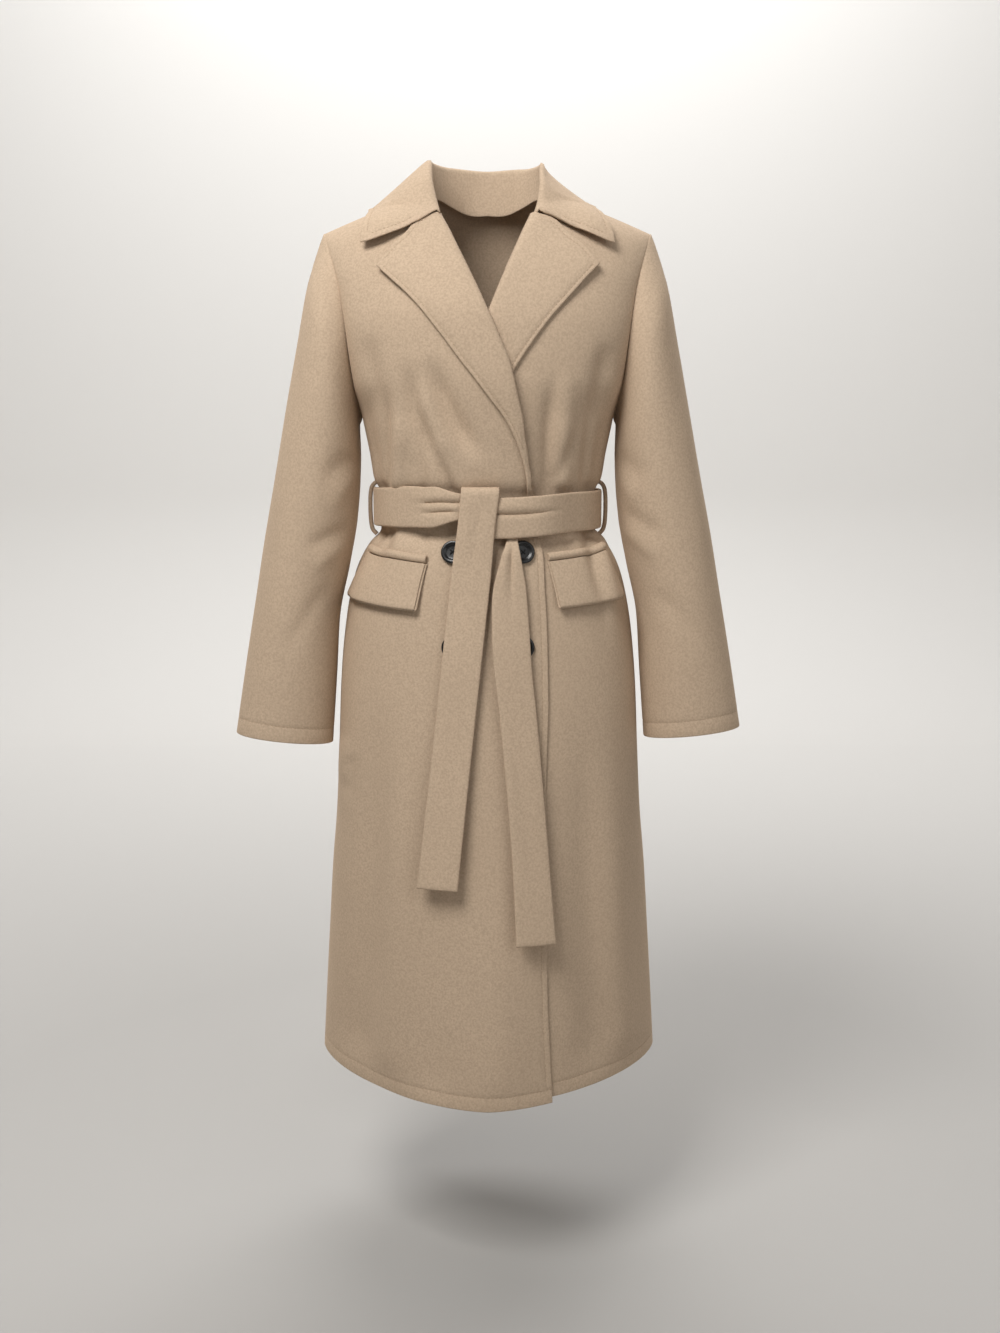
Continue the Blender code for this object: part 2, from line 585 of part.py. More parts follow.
def collar(name):
    """Stand and fall in one hairpin of cloth round the neck."""
    halves = {1: neck_seam(over_front, LAPEL_OVER, 1), -1: neck_seam(under_front, LAPEL_UNDER, -1)}

    def half_column(field, t, odd):
        rows = [row for row in reversed(COLLAR[1:])] + list(COLLAR)
        knots = [-row.t for row in rows[: len(COLLAR) - 1]] + [row.t for row in COLLAR]
        values = [getattr(row, field) for row in rows]
        if odd:
            values = [value * math.copysign(1.0, knot) for value, knot in zip(values, knots)]
        return curve(knots, values, t)

    def left_share(t):
        return smooth(t, *SITS_IN_COMES) * (1.0 - smooth(t, *SITS_IN_GOES))

    def vector(prefix, t):
        parts = [half_column(prefix + "_" + axis, t, axis == "x") for axis in "xyz"]
        found = np.stack(parts, axis=-1)
        if prefix != "out":
            found = found - left_share(t)[:, None] * np.array(LEFT_SITS_IN[prefix])
        return found

    def place(u, v):
        t = 2.0 * u - 1.0
        seam = np.empty((len(t), 3))
        for sign, half in halves.items():
            run = np.append(0.0, np.cumsum(np.linalg.norm(np.diff(half, axis=0), axis=1)))
            mine = (t <= 0.0) if sign > 0 else (t > 0.0)
            for k in range(3):
                seam[mine, k] = np.interp(np.abs(t[mine]) * COLLAR_REACH * run[-1], run, half[:, k])
        fold, edge = vector("fold", t), vector("edge", t)
        out = unit(vector("out", t))
        seam = seam + unit(fold - seam) * SEAM_RISE
        up = unit(fold - seam)
        out = unit(out - up * np.einsum("ij,ij->i", out, up)[:, None])
        step = np.rint(v * COLLAR_GRID[1])
        stand = np.minimum(step / STAND_FACES, 1.0)[:, None]
        over = np.clip((step - STAND_FACES) / FOLD_FACES, 0.0, 1.0)
        fall = np.clip((step - STAND_FACES - FOLD_FACES) / (COLLAR_GRID[1] - STAND_FACES - FOLD_FACES), 0, 1)
        centre = fold + out * COLLAR_ROLL
        leaf = edge - centre
        down = np.arctan2(-np.einsum("ij,ij->i", leaf, up), np.einsum("ij,ij->i", leaf, out))
        phi = math.pi - over * (0.5 * math.pi + down)
        radial = out * np.cos(phi)[:, None] + up * np.sin(phi)[:, None]
        bend = centre + radial * COLLAR_ROLL
        bulge = half_column("bulge", t, False) - LEFT_HOLLOW * left_share(t)
        swell = bulge * np.sin(math.pi * np.sqrt(fall))
        point = np.where(stand < 1.0, seam + (fold - seam) * stand, bend)
        point = point + (edge - bend) * fall[:, None] + radial * (swell * (fall > 0.0))[:, None]
        on_leaf = fall > 0.0
        for surface, mine in ((over_front, on_leaf & (t < 0.0)), (under_front, on_leaf & (t > 0.0))):
            point[mine] = rest_on_front(point[mine], surface, REST)
        return point

    return cloth(name, COLLAR_GRID, place, offset=0.0, flip=True)


def pocket(side, surface):
    """Pocket flap with the narrow strip above it."""
    sign = math.copysign(1.0, FLAP_OUT[side])

    def strip(top, bottom, lift_bottom):
        inner_s, inner_w = on_front([sign * FLAP_IN_TOP, sign * FLAP_IN_BOTTOM], [FLAP_TOP, FLAP_BOTTOM])

        def place(u, v):
            z = bottom + (top - bottom) * v
            down = (FLAP_TOP - z) / (FLAP_TOP - FLAP_BOTTOM)
            inner = inner_s[0] + (inner_s[1] - inner_s[0]) * np.maximum(down, 0.0)
            outer = FLAP_OUT[side] + sign * FLAP_SPREAD * np.maximum(down, 0.0)
            tilted = z + FLAP_TILT[side].inner + FLAP_TILT[side].rise * u
            w = curve([row.z_mid for row in SECTIONS], range(len(SECTIONS)), tilted)
            out = WALL + FLAP_GAP + lift_bottom * np.maximum(down, 0.0) ** FLAP_CURL
            return surface(inner + (outer - inner) * u, w, out)

        return place

    cloth("pocket_flap_" + side, FLAP_GRID, strip(FLAP_TOP, FLAP_BOTTOM, FLAP_LIFT), FLAP_WALL, flip=sign < 0)
    cloth("pocket_welt_" + side, WELT_GRID, strip(WELT_TOP, WELT_BOTTOM, 0.0), FLAP_WALL, flip=sign < 0)


def belt_offset(x, y):
    """How far the belt stands off the waist: more in front, most round the knot."""
    front_share = smooth(x, *BELT_FRONT_RISE) * (1.0 - smooth(x, *BELT_FRONT_FALL))
    knot_share = smooth(x, *KNOT_RISE) * (1.0 - smooth(x, *KNOT_FALL))
    in_front = np.asarray(y) < 0.0
    return BELT_OFF + np.where(in_front, BELT_OFF_FRONT * front_share + BELT_OFF_KNOT * knot_share, 0.0)


def belt_band(name):
    """Belt stretch round the waist; its two ends meet behind the hanging end."""
    start, _ = on_front(BELT_GAP_X + BELT_GAP, BELT_Z)
    finish, _ = on_front(BELT_GAP_X - BELT_GAP, BELT_Z)

    def place(u, v):
        way = float(start) + u * (4.0 + float(finish) - float(start))
        side_back = (way > 1.0) & (way < 3.0)
        s = np.where(way <= 1.0, way, np.where(side_back, 2.0 - way, way - 4.0))
        point = np.where(side_back[:, None], shell("back", s, WAIST), shell("front", s, WAIST))
        normal = np.where(side_back[:, None], outward("back", s, WAIST), outward("front", s, WAIST))
        normal[:, 2] = 0.0
        point = point + unit(normal) * belt_offset(point[:, 0], point[:, 1])[:, None]
        near = np.where(point[:, 1] < 0.0, 1.0 - smooth(np.abs(point[:, 0]), *KNOT_REACH), 0.0)
        left = point[:, 0] > BELT_GAP_X
        height = BELT_HEIGHT + np.where(left, KNOT_LEFT.height, KNOT_RIGHT.height) * near
        middle = BELT_Z + np.where(left, KNOT_LEFT.middle, KNOT_RIGHT.middle) * near
        point[:, 2] = middle + (v - 0.5) * height
        return point

    return cloth(name, BELT_GRID, place, BELT_WALL)


def belt_end(name, rows):
    """Hanging belt end, a flat strip along its own table."""

    def place(u, v):
        middle = table(rows, "x", v)
        x = middle + (2.0 * u - 1.0) * table(rows, "half", v)
        y = table(rows, "y", v) + END_WRAP * (x * x - middle * middle)
        return np.stack([x, y, table(rows, "z", v)], axis=-1)

    return cloth(name, END_GRID, place, BELT_WALL, offset=0.0)


def belt_loop(name, sign):
    """Narrow loop at a side seam that the belt runs through."""

    def place(u, v):
        y = (u - 0.5) * LOOP_WIDTH
        return np.stack([sign * table(LOOP, "x", v), y, table(LOOP, "z", v)], axis=-1)

    return cloth(name, LOOP_GRID, place, LOOP_WALL, offset=0.0, flip=sign < 0)


def button(name, x, z):
    """Dished button, turned, seated on the right front."""
    mesh = bpy.data.meshes.new(name)
    points = [(p.r, 0.0, p.h) for p in BUTTON_PROFILE]
    mesh.from_pydata(points, [(i, i + 1) for i in range(len(points) - 1)], [])
    mesh.materials.append(material(name, BLACK, BLACK_ROUGHNESS))
    piece = bpy.data.objects.new(name, mesh)
    coat.objects.link(piece)
    turned = piece.modifiers.new("turn", "SCREW")
    turned.steps = BUTTON_STEPS
    turned.render_steps = BUTTON_STEPS
    turned.use_merge_vertices = True
    turned.merge_threshold = JOIN
    turned.use_smooth_shade = True
    s, w = on_front(x, z)
    seat = over_front(s, w, WALL + BUTTON_SEAT)
    up = Vector(outward("front", s, w)).to_track_quat("Z", "Y").to_matrix().to_4x4()
    piece.matrix_world = Matrix.Translation(Vector(seat)) @ up
    return piece


def clear_scene():
    """Start from an empty scene."""
    for old in list(bpy.data.objects):
        bpy.data.objects.remove(old, do_unlink=True)


clear_scene()
coat = bpy.data.collections.new("double_breasted_coat")
bpy.context.scene.collection.children.link(coat)
front("front_right", over_front, LAPEL_OVER, 1)
front("front_left", under_front, LAPEL_UNDER, -1)
back("back")
sleeve("sleeve_right", -1)
sleeve("sleeve_left", 1)
collar("collar")
lapel("lapel_right", over_front, LAPEL_OVER, 1)
lapel("lapel_left", under_front, LAPEL_UNDER, -1)
pocket("right", over_front)
pocket("left", under_front)
belt_band("belt_band")
belt_end("belt_end_over", END_OVER)
belt_end("belt_end_under", END_UNDER)
belt_loop("belt_loop_right", -1)
belt_loop("belt_loop_left", 1)
for row, button_z in enumerate(BUTTON_Z):
    for col, button_x in enumerate(BUTTON_X):
        button(f"button_{2 * row + col + 1}", button_x, button_z)
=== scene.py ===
"""Looks of a belted double-breasted coat: its cloth pieces, stitching, buttons, light and camera.

Metres, +Z up, front towards -Y. Right and left are the wearer's: the right side is at -X.
"""
import logging
import math
from collections.abc import Callable, Sequence
from dataclasses import dataclass, field
from enum import Enum

import bmesh
import bpy
import numpy as np
from mathutils import Euler, Matrix, Vector


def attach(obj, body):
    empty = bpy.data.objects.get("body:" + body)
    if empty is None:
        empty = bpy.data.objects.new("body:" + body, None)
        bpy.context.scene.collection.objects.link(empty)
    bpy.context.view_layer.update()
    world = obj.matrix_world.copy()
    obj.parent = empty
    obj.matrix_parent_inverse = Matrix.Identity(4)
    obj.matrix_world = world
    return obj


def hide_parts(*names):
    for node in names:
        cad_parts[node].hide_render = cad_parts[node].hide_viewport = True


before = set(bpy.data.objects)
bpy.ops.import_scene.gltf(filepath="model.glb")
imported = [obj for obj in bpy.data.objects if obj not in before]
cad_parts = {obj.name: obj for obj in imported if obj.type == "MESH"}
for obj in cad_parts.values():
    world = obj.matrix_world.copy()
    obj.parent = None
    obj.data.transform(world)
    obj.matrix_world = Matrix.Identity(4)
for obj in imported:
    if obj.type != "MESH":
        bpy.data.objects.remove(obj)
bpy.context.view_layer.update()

LOG = logging.getLogger("coat")
Array = np.ndarray
Place = Callable[[Array, Array], Array]


class Side(Enum):
    """Which half of the body's shell a point lies on."""

    FRONT = "front"
    BACK = "back"


class Hand(Enum):
    """The wearer's hands; the value is the sign of x."""

    RIGHT = -1
    LEFT = 1

    @property
    def word(self) -> str:
        """Name used in a piece's name."""
        return self.name.lower()


def smooth(x: Array | float, low: float, high: float) -> Array:
    """Soft step.

    Args:
        x: Places to take it at.
        low: Where it leaves 0.
        high: Where it reaches 1.

    Returns:
        Values from 0 to 1.
    """
    t = np.clip((np.asarray(x, float) - low) / (high - low), 0.0, 1.0)
    return t * t * (3.0 - 2.0 * t)


def unit(v: Array) -> Array:
    """Vectors of length one."""
    return v / np.maximum(np.linalg.norm(v, axis=-1, keepdims=True), 1e-12)


def curve(knots: Sequence[float], values: Array, x: Array) -> Array:
    """Monotone cubic through values at knots.

    Args:
        knots: Rising places of the values.
        values: One value for each knot, or one row for each knot with a value for each x.
        x: Where to read it.

    Returns:
        One value for each x.
    """
    knots = np.asarray(knots, float)
    values = np.asarray(values, float)
    x = np.clip(np.asarray(x, float), knots[0], knots[-1])
    step = np.diff(knots).reshape((-1,) + (1,) * (values.ndim - 1))
    slope = np.diff(values, axis=0) / step
    same = slope[:-1] * slope[1:] > 0.0
    safe = np.where(same, slope[:-1] + slope[1:], 1.0)
    tangent = np.zeros_like(values)
    tangent[1:-1] = np.where(same, 2.0 * slope[:-1] * slope[1:] / safe, 0.0)
    tangent[0] = slope[0]
    tangent[-1] = slope[-1]
    k = np.clip(np.searchsorted(knots, x, side="right") - 1, 0, len(knots) - 2)
    wide = knots[k + 1] - knots[k]
    t = (x - knots[k]) / wide
    if values.ndim == 1:
        v0, v1, m0, m1 = values[k], values[k + 1], tangent[k], tangent[k + 1]
    else:
        own = np.arange(len(x))
        v0, v1, m0, m1 = values[k, own], values[k + 1, own], tangent[k, own], tangent[k + 1, own]
    rise = t * t * (3.0 - 2.0 * t)
    bend = t * (1.0 - t) * wide * ((1.0 - t) * m0 - t * m1)
    return v0 + (v1 - v0) * rise + bend


def lengths(points: Array) -> Array:
    """Running length along the first axis of a row of points, from 0."""
    steps = np.linalg.norm(np.diff(points, axis=0), axis=-1)
    return np.concatenate([np.zeros((1,) + steps.shape[1:]), np.cumsum(steps, axis=0)])


def read_line(at: Array, run: Array, line: Array) -> Array:
    """Points or directions of a line at given lengths along it.

    Args:
        at: The lengths.
        run: Running length at each point of the line.
        line: What the line holds at each point.

    Returns:
        One row for each length.
    """
    return np.stack([np.interp(at, run, line[:, k]) for k in range(3)], axis=-1)


def read_table(rows: Sequence[object], name: str, v: Array) -> Array:
    """One column of a table whose rows are spaced evenly.

    Args:
        rows: The table.
        name: The column.
        v: Where to read it, from 0 at the first row to 1 at the last.

    Returns:
        One value for each v.
    """
    return curve(np.linspace(0.0, 1.0, len(rows)), [getattr(row, name) for row in rows], v)


def tube_faces(index: Array) -> list[list[int]]:
    """Faces round tubes, with a cap at each end.

    Args:
        index: Vertex numbers by tube, station and side.

    Returns:
        The faces, as rows of vertex numbers.
    """
    wrap = np.concatenate([index, index[..., :1]], axis=-1)
    quad = np.stack([wrap[:, :-1, :-1], wrap[:, :-1, 1:], wrap[:, 1:, 1:], wrap[:, 1:, :-1]], axis=-1)
    return quad.reshape(-1, 4).tolist() + index[:, 0].tolist() + index[:, -1, ::-1].tolist()


@dataclass(frozen=True)
class Section:
    """One level of the body; its side lies on the side seam or on the armhole.

    turn is how far round the level's curve goes from its middle, in degrees, and square how boxy it is.
    """

    z_mid: float
    z_side: float
    x_side: float
    front: float
    back: float
    front_side: float = 0.0
    back_side: float = 0.0
    turn: float = 90.0
    square: float = 0.90


SECTIONS = (
    Section(-1.081, -1.072, 0.2175, -0.1780, 0.1780, square=1.22),
    Section(-0.980, -0.980, 0.2115, -0.1700, 0.1710, square=1.16),
    Section(-0.900, -0.900, 0.2060, -0.1620, 0.1650, square=1.10),
    Section(-0.820, -0.820, 0.2005, -0.1540, 0.1580, square=1.04),
    Section(-0.740, -0.740, 0.1930, -0.1460, 0.1520, square=0.98),
    Section(-0.660, -0.660, 0.1885, -0.1380, 0.1460, square=0.94),
    Section(-0.580, -0.580, 0.1845, -0.1300, 0.1390),
    Section(-0.500, -0.500, 0.1770, -0.1215, 0.1310),
    Section(-0.440, -0.440, 0.1635, -0.1140, 0.1200),
    Section(-0.408, -0.408, 0.1470, -0.1070, 0.1070),
    Section(-0.389, -0.389, 0.1315, -0.0980, 0.0905),
    Section(-0.363, -0.363, 0.1295, -0.0960, 0.0880),
    Section(-0.340, -0.340, 0.1310, -0.0975, 0.0880),
    Section(-0.325, -0.325, 0.1385, -0.1015, 0.0885),
    Section(-0.295, -0.295, 0.1435, -0.1060, 0.0905),
    Section(-0.255, -0.255, 0.1515, -0.1120, 0.0935),
    Section(-0.205, -0.210, 0.1595, -0.1165, 0.0960, -0.0450, 0.0480, 80.0),
    Section(-0.150, -0.150, 0.1665, -0.1145, 0.0970, -0.0615, 0.0640, 70.0),
    Section(-0.100, -0.100, 0.1745, -0.1030, 0.0940, -0.0520, 0.0550, 66.0),
    Section(-0.055, -0.066, 0.1845, -0.0850, 0.0865, -0.0340, 0.0360, 64.0),
    Section(-0.015, -0.0465, 0.1915, -0.0615, 0.0705, -0.0175, 0.0190, 62.0),
    Section(0.0140, -0.0385, 0.1950, -0.0340, 0.0400, -0.0075, 0.0080, 60.0),
    Section(0.0285, -0.0363, 0.1960, -0.0130, 0.0150, -0.0025, 0.0030, 60.0),
    Section(0.0322, -0.0360, 0.1960, 0.0, 0.0, 0.0, 0.0, 60.0),
)


@dataclass(frozen=True)
class Fold:
    """A large fold that runs into the belt; s is the share of the way from middle to side seam."""

    side: Side
    s_low: float
    s_high: float
    z_low: float
    z_high: float
    depth: float
    width: float


FOLDS = (
    Fold(Side.FRONT, 0.84, 0.80, -0.580, -0.392, -0.0070, 0.080),
    Fold(Side.FRONT, -0.86, -0.82, -0.560, -0.392, -0.0060, 0.080),
    Fold(Side.FRONT, 0.76, 0.68, -0.338, -0.220, -0.0050, 0.080),
    Fold(Side.FRONT, -0.78, -0.68, -0.338, -0.210, -0.0050, 0.080),
    Fold(Side.FRONT, -0.46, -0.38, -0.338, -0.260, -0.0035, 0.080),
    Fold(Side.FRONT, 0.48, 0.42, -0.338, -0.265, -0.0030, 0.080),
    Fold(Side.BACK, 0.46, 0.36, -0.640, -0.392, -0.0060, 0.060),
    Fold(Side.BACK, -0.40, -0.32, -0.600, -0.392, -0.0060, 0.060),
    Fold(Side.BACK, 0.52, 0.40, -0.338, -0.210, -0.0045, 0.055),
    Fold(Side.BACK, -0.58, -0.42, -0.338, -0.220, -0.0045, 0.055),
)


@dataclass(frozen=True)
class Crease:
    """A soft ridge or trough along a bowed line, in the two coordinates of the piece it is on.

    depth is above 0 for a ridge; width is the half width, bow how far the line's middle is pushed aside.
    """

    start: tuple[float, float]
    end: tuple[float, float]
    depth: float
    width: float
    bow: float = 0.0
    start_fade: float = 0.35
    end_fade: float = 0.35

    def height(self, a: Array, b: Array) -> Array:
        """How far the crease lifts the cloth.

        Args:
            a: First coordinate of the points.
            b: Second coordinate of the points.

        Returns:
            One height for each point.
        """
        run = np.subtract(self.end, self.start)
        size = float(np.hypot(*run))
        along = ((a - self.start[0]) * run[0] + (b - self.start[1]) * run[1]) / size**2
        aside = ((b - self.start[1]) * run[0] - (a - self.start[0]) * run[1]) / size
        t = np.clip(along, 0.0, 1.0)
        aside = aside - self.bow * 4.0 * t * (1.0 - t)
        past = (along - t) * size
        fade = smooth(t, 0.0, self.start_fade) * (1.0 - smooth(t, 1.0 - self.end_fade, 1.0))
        return self.depth * fade * np.exp(-(aside**2 + past**2) / self.width**2)


# Creases seen from the front, in x and z: folds drawn in by the belt, pulls towards the crossing of the
# fronts, and the skirt's slow waves. They lie on both fronts, so one never passes through the other.
FRONT_CREASES = (
    Crease((-0.116, -0.190), (-0.118, -0.345), -0.0067, 0.0065, 0.003, 0.6, 0.15),
    Crease((-0.103, -0.200), (-0.104, -0.345), 0.0070, 0.0105, 0.003, 0.6, 0.15),
    Crease((-0.074, -0.270), (-0.072, -0.345), -0.0043, 0.0055, 0.0, 0.6, 0.15),
    Crease((-0.093, -0.185), (-0.050, -0.310), -0.0084, 0.0120, -0.006),
    Crease((-0.068, -0.180), (-0.006, -0.305), -0.0096, 0.0130, -0.006),
    Crease((-0.080, -0.200), (-0.030, -0.318), 0.0072, 0.0120, -0.006),
    Crease((-0.062, -0.282), (-0.037, -0.345), -0.0042, 0.0065, 0.0, 0.5, 0.15),
    Crease((-0.046, -0.290), (-0.022, -0.345), 0.0036, 0.0080, 0.0, 0.5, 0.15),
    Crease((0.079, -0.190), (0.072, -0.345), -0.0072, 0.0100, -0.004, 0.5, 0.15),
    Crease((0.094, -0.185), (0.088, -0.345), 0.0068, 0.0120, -0.003, 0.5, 0.15),
    Crease((0.105, -0.255), (0.078, -0.335), -0.0043, 0.0070, 0.0, 0.5, 0.2),
    Crease((0.121, -0.215), (0.115, -0.345), -0.0059, 0.0070, 0.0, 0.6, 0.15),
    Crease((0.138, -0.160), (0.122, -0.262), -0.0059, 0.0110, 0.002),
    Crease((-0.139, -0.150), (-0.122, -0.255), -0.0043, 0.0110, -0.002),
    Crease((-0.070, -0.376), (-0.083, -0.432), -0.0031, 0.0065, 0.0, 0.1, 0.7),
    Crease((-0.097, -0.376), (-0.120, -0.440), 0.0025, 0.0100, 0.0, 0.1, 0.7),
    Crease((-0.112, -0.376), (-0.150, -0.452), -0.0056, 0.0085, 0.004, 0.1, 0.7),
    Crease((0.092, -0.376), (0.100, -0.425), -0.0028, 0.0070, 0.0, 0.1, 0.7),
    Crease((0.118, -0.376), (0.148, -0.520), -0.0059, 0.0080, -0.004, 0.1, 0.7),
    Crease((0.133, -0.380), (0.164, -0.560), 0.0042, 0.0090, -0.004, 0.15, 0.6),
    Crease((-0.128, -0.500), (-0.166, -1.070), -0.0070, 0.0240, 0.004, 0.6, 0.1),
    Crease((-0.100, -0.540), (-0.128, -1.075), 0.0056, 0.0220, 0.004, 0.6, 0.1),
    Crease((-0.060, -0.600), (-0.066, -1.080), -0.0036, 0.0220, 0.0, 0.6, 0.1),
    Crease((0.112, -0.520), (0.132, -1.075), -0.0059, 0.0230, -0.003, 0.6, 0.1),
    Crease((0.142, -0.540), (0.170, -1.070), 0.0064, 0.0200, -0.003, 0.6, 0.1),
    Crease((0.020, -0.640), (0.014, -1.080), 0.0031, 0.0260, 0.0, 0.6, 0.1),
    Crease((-0.172, -0.640), (-0.181, -0.712), 0.0034, 0.0070, -0.002),
    Crease((-0.165, -0.655), (-0.175, -0.730), -0.0036, 0.0070, -0.002),
)
BACK_CREASES = (
    Crease((0.030, -0.190), (0.024, -0.345), -0.0057, 0.0110, 0.002, 0.6, 0.15),
    Crease((0.062, -0.230), (0.054, -0.345), 0.0049, 0.0120, 0.0, 0.6, 0.15),
    Crease((-0.036, -0.220), (-0.030, -0.345), 0.0046, 0.0110, 0.0, 0.6, 0.15),
    Crease((-0.110, -0.120), (-0.060, -0.250), -0.0049, 0.0140, 0.006),
    Crease((0.112, -0.110), (0.070, -0.230), -0.0046, 0.0140, -0.006),
    Crease((-0.030, -0.376), (-0.040, -0.520), -0.0049, 0.0080, 0.0, 0.1, 0.7),
    Crease((0.012, -0.376), (0.020, -0.470), -0.0046, 0.0070, 0.0, 0.1, 0.7),
    Crease((0.090, -0.376), (0.118, -0.500), -0.0068, 0.0085, 0.003, 0.1, 0.7),
    Crease((-0.104, -0.376), (-0.136, -0.510), -0.0068, 0.0085, -0.003, 0.1, 0.7),
    Crease((-0.130, -0.560), (-0.160, -1.075), -0.0095, 0.0260, 0.0, 0.6, 0.1),
    Crease((-0.070, -0.600), (-0.082, -1.080), 0.0086, 0.0260, 0.0, 0.6, 0.1),
    Crease((-0.005, -0.560), (0.004, -1.080), -0.0076, 0.0280, 0.0, 0.6, 0.1),
    Crease((0.066, -0.620), (0.084, -1.080), 0.0084, 0.0260, 0.0, 0.6, 0.1),
    Crease((0.128, -0.540), (0.154, -1.075), -0.0086, 0.0250, 0.0, 0.6, 0.1),
)
# Thickness of the cloth, gap at the seams, and height of the belt's middle.
WALL = 0.0022
SEAM = 0.0003
BELT_Z = -0.363


@dataclass(frozen=True)
class LapelRow:
    """A lapel's roll line, a point on its leaf and its outer edge, seen from the front."""

    roll_x: float
    roll_z: float
    mid_x: float
    mid_z: float
    edge_x: float
    edge_z: float


LAPEL_OVER = (
    LapelRow(-0.0540, -0.0200, -0.0835, -0.0285, -0.1250, -0.0835),
    LapelRow(-0.0415, -0.0450, -0.0660, -0.0560, -0.1080, -0.0990),
    LapelRow(-0.0285, -0.0720, -0.0500, -0.0830, -0.0850, -0.1210),
    LapelRow(-0.0030, -0.1280, -0.0240, -0.1340, -0.0570, -0.1530),
    LapelRow(0.0120, -0.1610, -0.0070, -0.1680, -0.0300, -0.1890),
    LapelRow(0.0260, -0.1960, 0.0125, -0.2060, -0.0030, -0.2230),
    LapelRow(0.0350, -0.2360, 0.0265, -0.2420, 0.0185, -0.2520),
    LapelRow(0.0415, -0.2770, 0.0365, -0.2795, 0.0330, -0.2825),
    LapelRow(0.0476, -0.3190, 0.0440, -0.3192, 0.0422, -0.3195),
    LapelRow(0.0520, -0.3480, 0.0462, -0.3482, 0.0446, -0.3485),
)
LAPEL_UNDER = (
    LapelRow(0.0500, -0.0200, 0.0810, -0.0285, 0.1268, -0.0805),
    LapelRow(0.0385, -0.0450, 0.0650, -0.0540, 0.1120, -0.0950),
    LapelRow(0.0265, -0.0720, 0.0500, -0.0810, 0.0950, -0.1140),
    LapelRow(0.0030, -0.1280, 0.0260, -0.1320, 0.0680, -0.1440),
    LapelRow(-0.0120, -0.1610, 0.0100, -0.1670, 0.0430, -0.1780),
    LapelRow(-0.0260, -0.1960, -0.0080, -0.2040, 0.0180, -0.2160),
    LapelRow(-0.0350, -0.2360, -0.0250, -0.2410, -0.0100, -0.2490),
    LapelRow(-0.0415, -0.2770, -0.0335, -0.2795, -0.0280, -0.2820),
    LapelRow(-0.0470, -0.3190, -0.0405, -0.3192, -0.0375, -0.3195),
    LapelRow(-0.0505, -0.3480, -0.0455, -0.3482, -0.0430, -0.3485),
)


